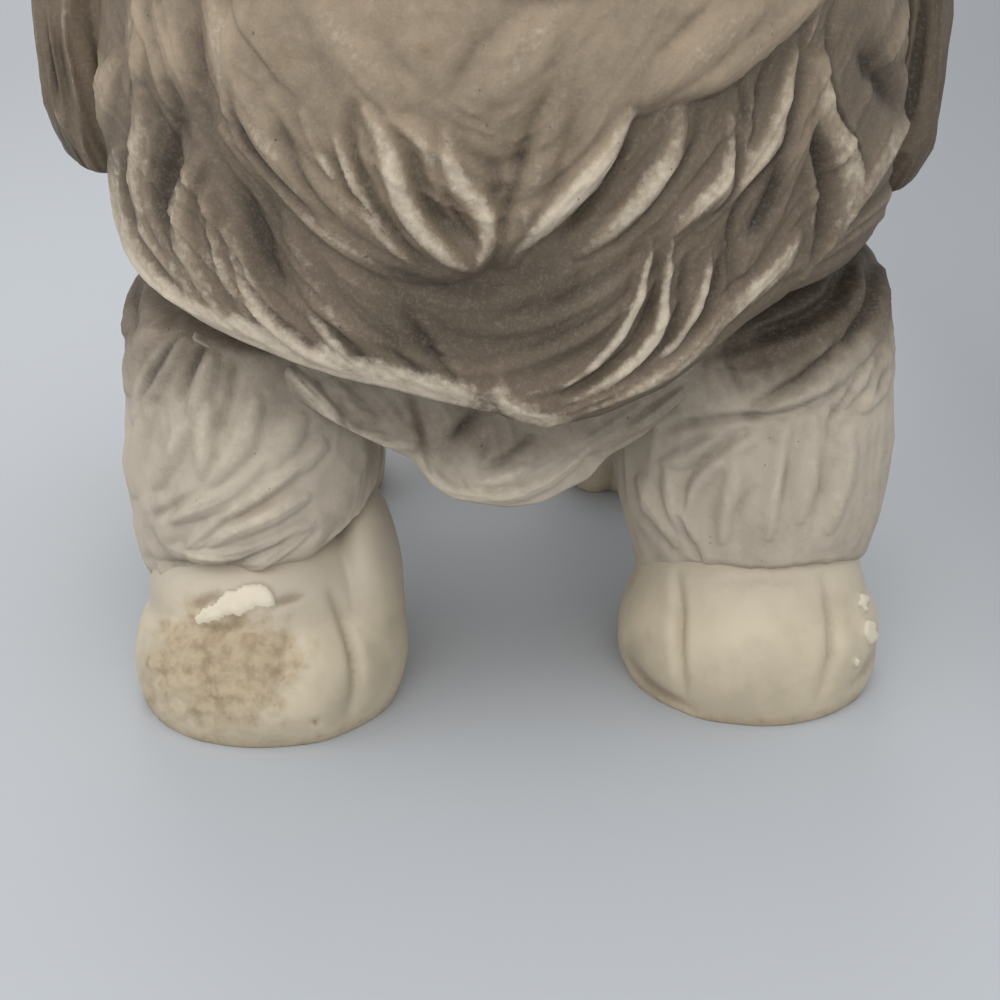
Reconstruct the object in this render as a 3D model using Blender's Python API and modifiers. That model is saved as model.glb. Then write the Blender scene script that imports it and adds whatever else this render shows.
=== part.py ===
"""Rubber squeak toy: a standing shaggy dog with a plug-in head and a reed squeaker in its belly.

Metres, +Z up. The dog looks along -Y and its right side is at -X. The origin is on the floor,
under the middle of the whole toy.
"""
import math

import bmesh
import bpy
from mathutils import Matrix, Vector

# Rubber and running clearances
WALL = 0.0030               # thickness of both hollow mouldings
SOLE = 0.0035               # rubber left under each paw
SEAT_GAP = 0.0003           # gap between pieces that touch on the real toy
HAIR_LOCK = 0.0028          # how far a lock of hair is pushed out of its cage
HAIR_GAP = 0.0014           # gap between the underside of the head and the body
HEAD_SWING = math.radians(20.0)   # how far the head turns to each side

# Torso, as rings from the chest to the rump
TORSO_FRONT_Y = -0.0480
TORSO_REAR_Y = 0.0700
TORSO_MIDDLE_Z = 0.0590
CHEST_HALF_WIDTH = 0.0440
BACK_HALF_WIDTH = 0.0420
RUMP_HALF_WIDTH = 0.0450
BELLY_Z = 0.0340
SHOULDER_TOP_Z = 0.0830
RUMP_TOP_Z = 0.0900

# Bib of long hair on the chest
BIB_FRONT_Y = -0.0510
BIB_HALF_WIDTH = 0.0320
BIB_TOP_Z = 0.0680
BIB_TIP_Z = 0.0290
BIB_DEPTH = 0.0240

# Legs and paws
FRONT_LEG_SPREAD = 0.0350   # from the middle to the centre of a front leg
HIND_LEG_SPREAD = 0.0345
FRONT_LEG_Y = -0.0330
HIND_LEG_Y = 0.0440
LEG_TOP_Z = 0.0560
LEG_HALF_WIDTH = 0.0185
ANKLE_HALF_WIDTH = 0.0162
ANKLE_HALF_DEPTH = 0.0165
ANKLE_Z = 0.0205
FRONT_PAW_SPREAD = 0.0345
FRONT_PAW_SHIFT = -0.0021   # both front paws stand a little towards the dog's right
HIND_PAW_SPREAD = 0.0345
PAW_WIDTH = 0.0370
PAW_LENGTH = 0.0400
PAW_TOP_Z = 0.0205
FRONT_TOE_Y = -0.0580       # foremost point of the front paws
HIND_TOE_Y = 0.0210
SIDE_TOE_WIDTH = 0.0130
SIDE_TOE_SETBACK = 0.0035   # the side toes start this far behind the middle one
SIDE_TOE_DROP = 0.0030      # and are this much lower
PAW_FLAT = 0.0060           # depth of each paw's form that the floor cuts off

# Tail, curled up over the rump
TAIL_REAR_Y = 0.0750
TAIL_THICKNESS = 0.0200
TAIL_TIP_Z = 0.1150

# Head, which turns about an upright line through the neck
NECK_Y = -0.0240
HEAD_TOP_Z = 0.1514
HEAD_HALF_WIDTH = 0.0540
HEAD_FRONT_Y = -0.0690
HEAD_BACK_Y = 0.0170
CHEEK_Z = 0.0820            # height of the rim of the cheeks, where the head starts to draw in
BEARD_RIM_Z = 0.0600        # lower edge of the head at its sides
BEARD_SLOPE = 0.32          # how steeply that edge falls towards the beard
MOUSTACHE_FRONT_Y = -0.0735
MOUSTACHE_HALF_WIDTH = 0.0340
MOUSTACHE_TOP_Z = 0.1130
MOUSTACHE_TIP_Z = 0.0660
MOUSTACHE_TIP_X = -0.0105   # the moustache sweeps to the dog's right
FRINGE_FRONT_Y = -0.0735
FRINGE_HALF_WIDTH = 0.0360
FRINGE_TOP_Z = 0.1510
FRINGE_TIP_Z = 0.1120
FRINGE_DEPTH = 0.0260
BEARD_FRONT_Y = -0.0690
BEARD_HALF_WIDTH = 0.0240
BEARD_DEPTH = 0.0140
BEARD_TOP_Z = 0.0780
BEARD_TIP_Z = 0.0490
BEARD_TIP_X = 0.0015
NOSE_FRONT_Y = -0.0750
NOSE_Z = 0.1075
NOSE_SIZE = (0.0160, 0.0110, 0.0120)
EAR_OUTER_X = 0.0645
EAR_THICKNESS = 0.0150
EAR_WIDTH = 0.0320
EAR_Y = -0.0160
EAR_TOP_Z = 0.1380
EAR_TIP_Z = 0.0680

# Neck plug: a flanged spigot under the head that is trapped in the body's neck hole
NECK_SEAT_Z = 0.0733        # flat underside of the head round the spigot
NECK_SEAT_RADIUS = 0.0220
NECK_HOLE_RADIUS = 0.0130
NECK_FLANGE_RADIUS = 0.0160
NECK_FLANGE_THICKNESS = 0.0030
NECK_BORE_RADIUS = 0.0095
NECK_WELL_CLEARANCE = 0.0006  # room round the flange inside the body
NECK_WELL_STEP = 0.0006     # the well for the flange goes this much higher than the hollow round it
CHIN_HOLLOW_RADIUS = 0.0360  # inside radius of the overhanging beard

# Squeaker in the belly, all turned about one upright axis
PORT_Y = 0.0060
PORT_SEAT_Z = 0.0372        # flat seat that the squeaker's flange lies under
PORT_BOSS_RADIUS = 0.0125
PORT_RECESS_RADIUS = 0.0098
CUP_RADIUS = 0.0062
CUP_WALL = 0.0007
CUP_HEIGHT = 0.0090
CUP_FLANGE_RADIUS = 0.0090
CUP_FLANGE_THICKNESS = 0.0010
CUP_LIP_RADIUS = 0.0072     # rolled ring that holds the cup behind the rubber
SOUND_HOLE_RADIUS = 0.0018
PLATE_THICKNESS = 0.0006
PLATE_HEIGHT = 0.0040       # height of the reed plate above the cup's floor
LEDGE_WIDTH = 0.0005
SLOT_LENGTH = 0.0056
SLOT_WIDTH = 0.0026
REED_THICKNESS = 0.0003
REED_WIDTH = 0.0020
REED_LENGTH = 0.0074
REED_ROOT = 0.0022          # clamped length of the reed behind the slot
RIVET_RADIUS = 0.0005
RIVET_HEAD_RADIUS = 0.0009
RIVET_HEAD_THICKNESS = 0.0004
CAP_THICKNESS = 0.0006
CAP_HOLE_RADIUS = 0.0008
CAP_HOLE_CIRCLE = 0.0027
CAP_HOLE_COUNT = 5

CUT_OVERRUN = 0.0100        # how far a cutter runs past what it cuts
TURNED_STEPS = 28
CAGE_SIDES = 8
LOCK_SIDES = 32             # sides of a large cage with locks of hair, two to a lock
TUFT_SIDES = 24             # the same for the fringe, the moustache and the beard

RUBBER = (0.60, 0.53, 0.44)
RUBBER_GREY = (0.46, 0.42, 0.37)
ALUMINIUM = (0.78, 0.79, 0.80)
BRASS = (0.72, 0.55, 0.24)
BRONZE = (0.66, 0.44, 0.26)


def empty_file():
    """Remove the objects that the file opened with."""
    for old in list(bpy.data.objects):
        bpy.data.objects.remove(old, do_unlink=True)


def new_collection(name):
    group = bpy.data.collections.new(name)
    bpy.context.scene.collection.children.link(group)
    return group


def new_material(name, colour, roughness, metallic):
    made = bpy.data.materials.new(name)
    made.use_nodes = True
    shader = made.node_tree.nodes["Principled BSDF"]
    shader.inputs["Base Color"].default_value = (*colour, 1.0)
    shader.inputs["Roughness"].default_value = roughness
    shader.inputs["Metallic"].default_value = metallic
    return made


def from_bmesh(name, shape, group):
    """Turn a bmesh into an object with its faces pointing out."""
    bmesh.ops.recalc_face_normals(shape, faces=shape.faces[:])
    mesh = bpy.data.meshes.new(name)
    shape.to_mesh(mesh)
    shape.free()
    mesh.shade_smooth()
    made = bpy.data.objects.new(name, mesh)
    group.objects.link(made)
    return made


def as_guide(made):
    """Mark a helper that only cuts or joins."""
    made.hide_render = True
    made.display_type = "WIRE"
    return made


def ring(centre, across, along):
    """One ring of a cage: its centre and its two half axes as vectors."""
    return Vector(centre), Vector(across), Vector(along)


def shortened(vector, amount):
    return vector * max(1.0 - amount / vector.length, 0.05)


def cage(name, group, start, rings, end, inset=0.0, level=2, sides=CAGE_SIDES, lock=0.0):
    """A soft form: a sphere whose circles are moved to the rings, then subdivided.

    Subdividing draws a ring of few sides in, so each ring is first swelled by that much. A positive inset
    makes the same form smaller all round, and a negative one makes it larger. A lock height pushes every
    second side out and the others in, less and less towards both ends, which gives long locks of hair.
    """
    shape = bmesh.new()
    bmesh.ops.create_uvsphere(shape, u_segments=sides, v_segments=len(rings) + 1, radius=1.0)
    swell = 6.0 / (4.0 + 2.0 * math.cos(2.0 * math.pi / sides))
    first = Vector(start) + shortened_step(start, rings[0][0], inset)
    last = Vector(end) + shortened_step(end, rings[-1][0], inset)
    for vert in shape.verts:
        place = round(math.acos(max(-1.0, min(1.0, vert.co.z))) / math.pi * (len(rings) + 1))
        if place == 0:
            vert.co = first
        elif place == len(rings) + 1:
            vert.co = last
        else:
            centre, across, along = rings[place - 1]
            angle = math.atan2(vert.co.y, vert.co.x)
            fade = math.sin(math.pi * place / (len(rings) + 1)) ** 2
            raised = lock * fade * (1.0 if round(angle / (2.0 * math.pi) * sides) % 2 else -1.0)
            reach_across = shortened(across, inset - raised) * swell * math.cos(angle)
            vert.co = centre + reach_across + shortened(along, inset - raised) * swell * math.sin(angle)
    made = from_bmesh(name, shape, group)
    soften = made.modifiers.new("soften", "SUBSURF")
    soften.levels = level
    soften.render_levels = level
    return made


def shortened_step(pole, towards, inset):
    """How far an end of a cage moves towards its nearest ring for an inset."""
    return (Vector(towards) - Vector(pole)).normalized() * inset


def ellipsoid(name, group, centre, size):
    """A rounded lobe of a given width, length and height."""
    shape = bmesh.new()
    bmesh.ops.create_uvsphere(shape, u_segments=14, v_segments=8, radius=1.0)
    half = [side / 2.0 for side in size]
    bmesh.ops.scale(shape, vec=half, verts=shape.verts[:])
    bmesh.ops.translate(shape, vec=centre, verts=shape.verts[:])
    return from_bmesh(name, shape, group)


def turned(name, group, profile, centre=(0.0, 0.0), steps=TURNED_STEPS):
    """A turned solid: a profile of (radius, height) points, from the top down its outer side."""
    mesh = bpy.data.meshes.new(name)
    points = [(radius, 0.0, height) for radius, height in profile]
    edges = [(i, i + 1) for i in range(len(points) - 1)]
    if profile[0][0] > 0.0:
        edges.append((len(points) - 1, 0))
    mesh.from_pydata(points, edges, [])
    made = bpy.data.objects.new(name, mesh)
    made.location = (*centre, 0.0)
    group.objects.link(made)
    spin = made.modifiers.new("turn", "SCREW")
    spin.steps = steps
    spin.render_steps = steps
    spin.use_merge_vertices = True
    spin.merge_threshold = 0.00001
    spin.use_smooth_shade = False
    return made


def block(name, group, low, high):
    """A box between two corners."""
    shape = bmesh.new()
    bmesh.ops.create_cube(shape, size=1.0)
    low, high = Vector(low), Vector(high)
    bmesh.ops.scale(shape, vec=high - low, verts=shape.verts[:])
    bmesh.ops.translate(shape, vec=(low + high) / 2.0, verts=shape.verts[:])
    return from_bmesh(name, shape, group)


def combine(made, other, operation):
    """Join or cut one object by another with an exact Boolean."""
    step = made.modifiers.new(operation.lower() + "_" + other.name, "BOOLEAN")
    step.operation = operation
    step.solver = "EXACT"
    step.object = other


def join(made, others):
    for other in others:
        combine(made, as_guide(other), "UNION")


def cut(made, others):
    for other in others:
        combine(made, as_guide(other), "DIFFERENCE")


def upright_ring(x, y, z, half_width, half_depth, slope=0.0):
    """A ring that lies level, or that falls towards the front by a slope."""
    return ring((x, y, z), (half_width, 0.0, 0.0), (0.0, half_depth, half_depth * slope))


def torso_form(name, group, inset=0.0, level=2, sides=CAGE_SIDES, lock=0.0):
    """Torso: standing rings from the chest back to the rump."""
    span = TORSO_REAR_Y - TORSO_FRONT_Y
    plan = [
        (0.06, 0.60 * CHEST_HALF_WIDTH, BELLY_Z + 0.003, SHOULDER_TOP_Z - 0.015),
        (0.18, CHEST_HALF_WIDTH, BELLY_Z, SHOULDER_TOP_Z - 0.003),
        (0.36, CHEST_HALF_WIDTH, BELLY_Z, SHOULDER_TOP_Z),
        (0.54, BACK_HALF_WIDTH, BELLY_Z, SHOULDER_TOP_Z),
        (0.74, RUMP_HALF_WIDTH, BELLY_Z, RUMP_TOP_Z),
        (0.91, 0.80 * RUMP_HALF_WIDTH, BELLY_Z + 0.004, RUMP_TOP_Z - 0.006),
    ]
    rings = []
    for share, half_width, low, high in plan:
        centre = (0.0, TORSO_FRONT_Y + share * span, (low + high) / 2.0)
        rings.append(ring(centre, (half_width, 0.0, 0.0), (0.0, 0.0, (high - low) / 2.0)))
    start = (0.0, TORSO_FRONT_Y, TORSO_MIDDLE_Z)
    end = (0.0, TORSO_REAR_Y, TORSO_MIDDLE_Z)
    return cage(name, group, start, rings, end, inset, level, sides, lock)


def leg_form(name, group, x, y, paw_x, paw_y, inset=0.0, level=1):
    """Leg: level rings from inside the torso down to the paw."""
    rings = [
        upright_ring(x + math.copysign(0.0015, x), y + 0.006, LEG_TOP_Z - 0.004, LEG_HALF_WIDTH + 0.003, 0.0200),
        upright_ring(x, y + 0.003, LEG_TOP_Z - 0.014, LEG_HALF_WIDTH + 0.001, 0.0195),
        upright_ring(x, y, LEG_TOP_Z - 0.025, LEG_HALF_WIDTH, 0.0180),
        upright_ring(x, y, ANKLE_Z, ANKLE_HALF_WIDTH, ANKLE_HALF_DEPTH),
        upright_ring(paw_x, paw_y + 0.002, ANKLE_Z * 0.5, ANKLE_HALF_WIDTH, ANKLE_HALF_DEPTH),
    ]
    start = (x, y + 0.007, LEG_TOP_Z + 0.010)
    end = (paw_x, paw_y, 0.0020)
    return cage(name, group, start, rings, end, inset, level)


def paw_lobes(name, group, paw_x, toe_y):
    """Paw: one broad lobe in the middle and a narrow toe on each side, all reaching below the floor cut."""
    length, height = PAW_LENGTH, PAW_TOP_Z + PAW_FLAT
    middle = (paw_x, toe_y + length / 2.0, PAW_TOP_Z - height / 2.0)
    lobes = [ellipsoid(name + "_middle", group, middle, (PAW_WIDTH - SIDE_TOE_WIDTH * 0.7, length, height))]
    for side in (-1.0, 1.0):
        reach = side * (PAW_WIDTH - SIDE_TOE_WIDTH) / 2.0
        centre = (paw_x + reach, toe_y + SIDE_TOE_SETBACK + 0.4 * length, middle[2] - SIDE_TOE_DROP / 2.0)
        size = (SIDE_TOE_WIDTH, 0.8 * length, height - SIDE_TOE_DROP)
        label = name + ("_right_toe" if side < 0.0 else "_left_toe")
        lobes.append(ellipsoid(label, group, centre, size))
    return lobes


def bib_form(group):
    """Bib: level rings that narrow to a tip between the front legs."""
    middle_y = BIB_FRONT_Y + BIB_DEPTH / 2.0
    height = BIB_TOP_Z - BIB_TIP_Z
    plan = [(0.85, 0.90, 1.00), (0.62, 1.00, 1.00), (0.42, 0.78, 0.95), (0.24, 0.50, 0.85), (0.09, 0.24, 0.60)]
    rings = []
    for share, width, depth in plan:
        rings.append(upright_ring(-0.001, middle_y, BIB_TIP_Z + share * height,
                                  width * BIB_HALF_WIDTH, depth * BIB_DEPTH / 2.0))
    return cage("bib", group, (-0.001, middle_y, BIB_TOP_Z), rings, (0.001, middle_y, BIB_TIP_Z - 0.001))


def tail_form(group):
    """Tail: rings along a curve that rises behind the rump and leans forward at its tip."""
    half = TAIL_THICKNESS / 2.0
    middle_y = TAIL_REAR_Y - half
    plan = [
        (middle_y - 0.0090, RUMP_TOP_Z - 0.0180, 1.00, 0.9),
        (middle_y + 0.0002, RUMP_TOP_Z - 0.0040, 1.11, 1.2),
        (middle_y + 0.0002, RUMP_TOP_Z + 0.0070, 1.01, 1.6),
        (middle_y - 0.0040, RUMP_TOP_Z + 0.0170, 0.60, 2.0),
    ]
    rings = []
    for y, z, size, lean in plan:
        toward = Vector((0.0, math.sin(lean), -math.cos(lean)))
        rings.append(ring((0.0, y, z), (half * size, 0.0, 0.0), toward * half * size))
    start = (0.0, middle_y - 0.0200, RUMP_TOP_Z - 0.0300)
    end = (0.0, middle_y - 0.0110, TAIL_TIP_Z)
    return cage("tail", group, start, rings, end, level=1)


def head_form(name, group, inset=0.0, drop=0.0, level=2, sides=CAGE_SIDES, lock=0.0):
    """Crown, cheeks and beard: rings from the top down, whose lower ones fall towards the front."""
    middle_y = (HEAD_FRONT_Y + HEAD_BACK_Y) / 2.0
    half_depth = (HEAD_BACK_Y - HEAD_FRONT_Y) / 2.0
    crown = HEAD_TOP_Z - CHEEK_Z
    skirt = CHEEK_Z - BEARD_RIM_Z
    plan = [
        (CHEEK_Z + 0.92 * crown, 0.50, 0.58, 0.0),
        (CHEEK_Z + 0.72 * crown, 0.80, 0.86, 0.0),
        (CHEEK_Z + 0.45 * crown, 0.95, 0.98, 0.0),
        (CHEEK_Z + 0.18 * crown, 1.00, 1.00, 0.2 * BEARD_SLOPE),
        (CHEEK_Z - 0.10 * skirt, 1.00, 0.98, 0.5 * BEARD_SLOPE),
        (CHEEK_Z - 0.70 * skirt, 0.95, 0.95, 0.9 * BEARD_SLOPE),
        (BEARD_RIM_Z, 0.80, 0.84, BEARD_SLOPE),
    ]
    rings = []
    for z, width, depth, slope in plan:
        rings.append(upright_ring(0.0, middle_y, z - drop, width * HEAD_HALF_WIDTH, depth * half_depth, slope))
    return cage(name, group, (0.0, middle_y, HEAD_TOP_Z + 0.001), rings,
                (0.0, middle_y, CHEEK_Z - 0.4 * skirt - drop), inset, level, sides, lock)


def moustache_form(group):
    """Moustache: a shield of hair over the beard that ends in a tip to one side."""
    back_y = HEAD_FRONT_Y + 0.018
    half_depth = (back_y - MOUSTACHE_FRONT_Y) / 2.0
    middle_y = (back_y + MOUSTACHE_FRONT_Y) / 2.0
    height = MOUSTACHE_TOP_Z - MOUSTACHE_TIP_Z
    plan = [(0.88, 0.72, 0.85), (0.69, 1.00, 0.98), (0.49, 0.74, 1.00), (0.29, 0.60, 0.95), (0.11, 0.34, 0.85)]
    rings = []
    for share, width, depth in plan:
        sweep = MOUSTACHE_TIP_X * (1.0 - share) ** 2
        rings.append(upright_ring(sweep, middle_y, MOUSTACHE_TIP_Z + share * height,
                                  width * MOUSTACHE_HALF_WIDTH, depth * half_depth))
    return cage("moustache", group, (0.0, middle_y, MOUSTACHE_TOP_Z), rings,
                (MOUSTACHE_TIP_X, middle_y, MOUSTACHE_TIP_Z), level=1, sides=TUFT_SIDES, lock=HAIR_LOCK)


def fringe_form(group):
    """Fringe: hair that falls from the crown over the eyes."""
    half_depth = FRINGE_DEPTH / 2.0
    height = FRINGE_TOP_Z - FRINGE_TIP_Z
    plan = [(0.90, 0.45, 0.0225), (0.66, 0.80, 0.0085), (0.36, 1.00, 0.0012), (0.10, 0.80, 0.0010)]
    rings = []
    for share, width, set_back in plan:
        middle_y = FRINGE_FRONT_Y + set_back + half_depth
        rings.append(upright_ring(0.0, middle_y, FRINGE_TIP_Z + share * height,
                                  width * FRINGE_HALF_WIDTH, half_depth))
    return cage("fringe", group, (0.0, FRINGE_FRONT_Y + 0.030 + half_depth, FRINGE_TOP_Z), rings,
                (0.0, FRINGE_FRONT_Y + half_depth, FRINGE_TIP_Z - 0.001),
                level=1, sides=TUFT_SIDES, lock=HAIR_LOCK)


def beard_form(group):
    """Beard: a lobe below the mouth whose tip is the lowest point of the head."""
    half_depth = BEARD_DEPTH / 2.0
    height = BEARD_TOP_Z - BEARD_TIP_Z
    plan = [(0.78, 0.90, 0.0020), (0.50, 1.00, 0.0), (0.26, 0.72, 0.0005), (0.08, 0.34, 0.0020)]
    rings = []
    for share, width, set_back in plan:
        middle_y = BEARD_FRONT_Y + set_back + half_depth
        rings.append(upright_ring(BEARD_TIP_X * (1.0 - share), middle_y, BEARD_TIP_Z + share * height,
                                  width * BEARD_HALF_WIDTH, half_depth))
    return cage("beard", group, (0.0, BEARD_FRONT_Y + half_depth, BEARD_TOP_Z), rings,
                (BEARD_TIP_X, BEARD_FRONT_Y + half_depth, BEARD_TIP_Z - 0.002),
                level=1, sides=TUFT_SIDES, lock=HAIR_LOCK)


def ear_form(name, group, side):
    """Ear: a flat hanging flap beside the cheek."""
    height = EAR_TOP_Z - EAR_TIP_Z
    half = EAR_THICKNESS / 2.0
    hang_x = EAR_OUTER_X - half
    plan = [(0.88, -0.0130, 0.90, 0.75), (0.64, -0.0045, 1.04, 0.95), (0.34, 0.0, 1.08, 1.05),
            (0.13, -0.0008, 0.84, 0.76)]
    rings = []
    for share, draw_in, thick, wide in plan:
        rings.append(upright_ring(side * (hang_x + draw_in), EAR_Y, EAR_TIP_Z + share * height,
                                  thick * half, wide * EAR_WIDTH / 2.0))
    start = (side * (hang_x - 0.020), EAR_Y, EAR_TOP_Z)
    end = (side * (hang_x - 0.001), EAR_Y, EAR_TIP_Z)
    return cage(name, group, start, rings, end, level=1)


def plug_form(name, group, inset, seat_drop):
    """The space under the chin: a dome about the neck axis. An inset makes it smaller."""
    top = NECK_SEAT_Z - seat_drop
    curve = [
        (NECK_SEAT_RADIUS, 0.0),
        (NECK_SEAT_RADIUS + 0.40 * (CHIN_HOLLOW_RADIUS - NECK_SEAT_RADIUS), 0.0058),
        (NECK_SEAT_RADIUS + 0.78 * (CHIN_HOLLOW_RADIUS - NECK_SEAT_RADIUS), 0.0130),
        (NECK_SEAT_RADIUS + 0.96 * (CHIN_HOLLOW_RADIUS - NECK_SEAT_RADIUS), 0.0210),
        (CHIN_HOLLOW_RADIUS, 0.0290),
    ]
    profile = [(0.0, top)]
    for radius, drop in curve:
        lower = seat_drop if drop == 0.0 else inset
        profile.append((radius - inset, NECK_SEAT_Z - drop - lower))
    profile.append((CHIN_HOLLOW_RADIUS - inset, BIB_TIP_Z - CUT_OVERRUN))
    profile.append((0.0, BIB_TIP_Z - CUT_OVERRUN))
    return turned(name, group, profile, (0.0, NECK_Y))


def head_room(name, group, gap, seat_drop):
    """What the turning head takes up: its own form, swelled and lowered by what a turn adds, less the dome."""
    half_depth = (HEAD_BACK_Y - HEAD_FRONT_Y) / 2.0
    swell = (HEAD_HALF_WIDTH - half_depth) * math.sin(2.0 * HEAD_SWING) / 2.0
    drop = BEARD_SLOPE * half_depth * math.sin(HEAD_SWING)
    room = as_guide(head_form(name, group, -gap - swell, gap + drop, level=1))
    cut(room, [plug_form(name + "_core", group, gap, seat_drop)])
    return [room]


def cylinder(name, group, centre, radius, low, high, steps=TURNED_STEPS):
    """An upright cylinder between two heights."""
    return turned(name, group, [(0.0, high), (radius, high), (radius, low), (0.0, low)], centre, steps)


def build_body(parts, guides, rubber):
    """Body moulding: torso, legs, bib and tail, hollow, with a neck hole and a squeaker port."""
    body = torso_form("body_shell", parts, level=1, sides=LOCK_SIDES, lock=HAIR_LOCK)
    legs = []
    cavities = []
    for end, leg_y, spread, toe_y in (("front", FRONT_LEG_Y, FRONT_LEG_SPREAD, FRONT_TOE_Y),
                                      ("hind", HIND_LEG_Y, HIND_LEG_SPREAD, HIND_TOE_Y)):
        for side, hand in ((-1.0, "right"), (1.0, "left")):
            paw_x = side * FRONT_PAW_SPREAD + FRONT_PAW_SHIFT if end == "front" else side * HIND_PAW_SPREAD
            label = end + "_" + hand
            paw_y = toe_y + PAW_LENGTH / 2.0
            level = 2 if end == "front" else 1
            legs.append(leg_form(label + "_leg", guides, side * spread, leg_y, paw_x, paw_y, level=level))
            legs += paw_lobes(label + "_paw", guides, paw_x, toe_y)
            cavities.append(leg_form(label + "_hollow", guides, side * spread, leg_y, paw_x, paw_y, WALL))
    join(body, legs)
    join(body, [bib_form(guides), tail_form(guides)])
    cut(body, head_room("head_room", guides, HAIR_GAP, SEAT_GAP))

    hollow = as_guide(torso_form("body_hollow", guides, WALL, level=1))
    join(hollow, cavities)
    cut(hollow, head_room("wall_room", guides, HAIR_GAP + WALL, SEAT_GAP + WALL + NECK_WELL_STEP))
    wide = EAR_OUTER_X + CUT_OVERRUN
    long = TAIL_REAR_Y + CUT_OVERRUN
    port = (0.0, PORT_Y)
    cut(hollow, [block("sole_wall", guides, (-wide, -long, -CUT_OVERRUN), (wide, long, SOLE)),
                 cylinder("port_boss", guides, port, PORT_BOSS_RADIUS,
                          BELLY_Z - CUT_OVERRUN, PORT_SEAT_Z + WALL)])
    cut(body, [hollow])
    cut(body, [block("floor", guides, (-wide, -long, -CUT_OVERRUN), (wide, long, 0.0))])

    neck = (0.0, NECK_Y)
    plate_bottom = NECK_SEAT_Z - SEAT_GAP - WALL
    cut(body, [cylinder("neck_well", guides, neck, NECK_FLANGE_RADIUS + NECK_WELL_CLEARANCE,
                        plate_bottom - 2.0 * NECK_FLANGE_THICKNESS, plate_bottom),
               cylinder("neck_hole", guides, neck, NECK_HOLE_RADIUS,
                        plate_bottom - NECK_FLANGE_THICKNESS, NECK_SEAT_Z + CUT_OVERRUN)])
    cut(body, [cylinder("port_recess", guides, port, PORT_RECESS_RADIUS, BELLY_Z - CUT_OVERRUN, PORT_SEAT_Z),
               cylinder("port_hole", guides, port, CUP_RADIUS + SEAT_GAP,
                        BELLY_Z - CUT_OVERRUN, PORT_SEAT_Z + CUT_OVERRUN)])
    body.data.materials.append(rubber)
    return body


def build_head(parts, guides, rubber):
    """Head moulding: crown, fringe, moustache, beard and ears, hollow, on a flanged neck spigot."""
    head = head_form("head_shell", parts, level=1, sides=LOCK_SIDES, lock=HAIR_LOCK)
    ears = [ear_form("right_ear", guides, -1.0), ear_form("left_ear", guides, 1.0)]
    nose_y = NOSE_FRONT_Y + NOSE_SIZE[1] / 2.0
    nose = ellipsoid("nose", guides, (0.0, nose_y, NOSE_Z), NOSE_SIZE)
    join(head, [fringe_form(guides), beard_form(guides), moustache_form(guides), nose] + ears)
    cut(head, [plug_form("chin_space", guides, 0.0, 0.0)])

    hollow = as_guide(head_form("head_hollow", guides, WALL, 0.0, level=1))
    cut(hollow, [plug_form("chin_wall", guides, -WALL, -WALL)])
    cut(head, [hollow])

    plate_bottom = NECK_SEAT_Z - SEAT_GAP - WALL
    flange_top = plate_bottom - SEAT_GAP
    flange_bottom = flange_top - NECK_FLANGE_THICKNESS
    shank = NECK_HOLE_RADIUS - SEAT_GAP
    spigot_top = NECK_SEAT_Z + 0.7 * WALL
    profile = [(NECK_BORE_RADIUS / 2.0, spigot_top), (shank, spigot_top), (shank, flange_top),
               (NECK_FLANGE_RADIUS, flange_top), (NECK_FLANGE_RADIUS - 0.001, flange_bottom),
               (NECK_BORE_RADIUS / 2.0, flange_bottom)]
    join(head, [turned("spigot", guides, profile, (0.0, NECK_Y))])
    cut(head, [cylinder("neck_bore", guides, (0.0, NECK_Y), NECK_BORE_RADIUS,
                        flange_bottom - CUT_OVERRUN, NECK_SEAT_Z + CUT_OVERRUN)])
    head.data.materials.append(rubber)
    set_origin(head, (0.0, NECK_Y, NECK_SEAT_Z))
    return head


def set_origin(made, point):
    """Move an object's origin to a point and leave its shape where it is."""
    made.data.transform(Matrix.Translation(-Vector(point)))
    made.location = Vector(made.location) + Vector(point)


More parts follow.
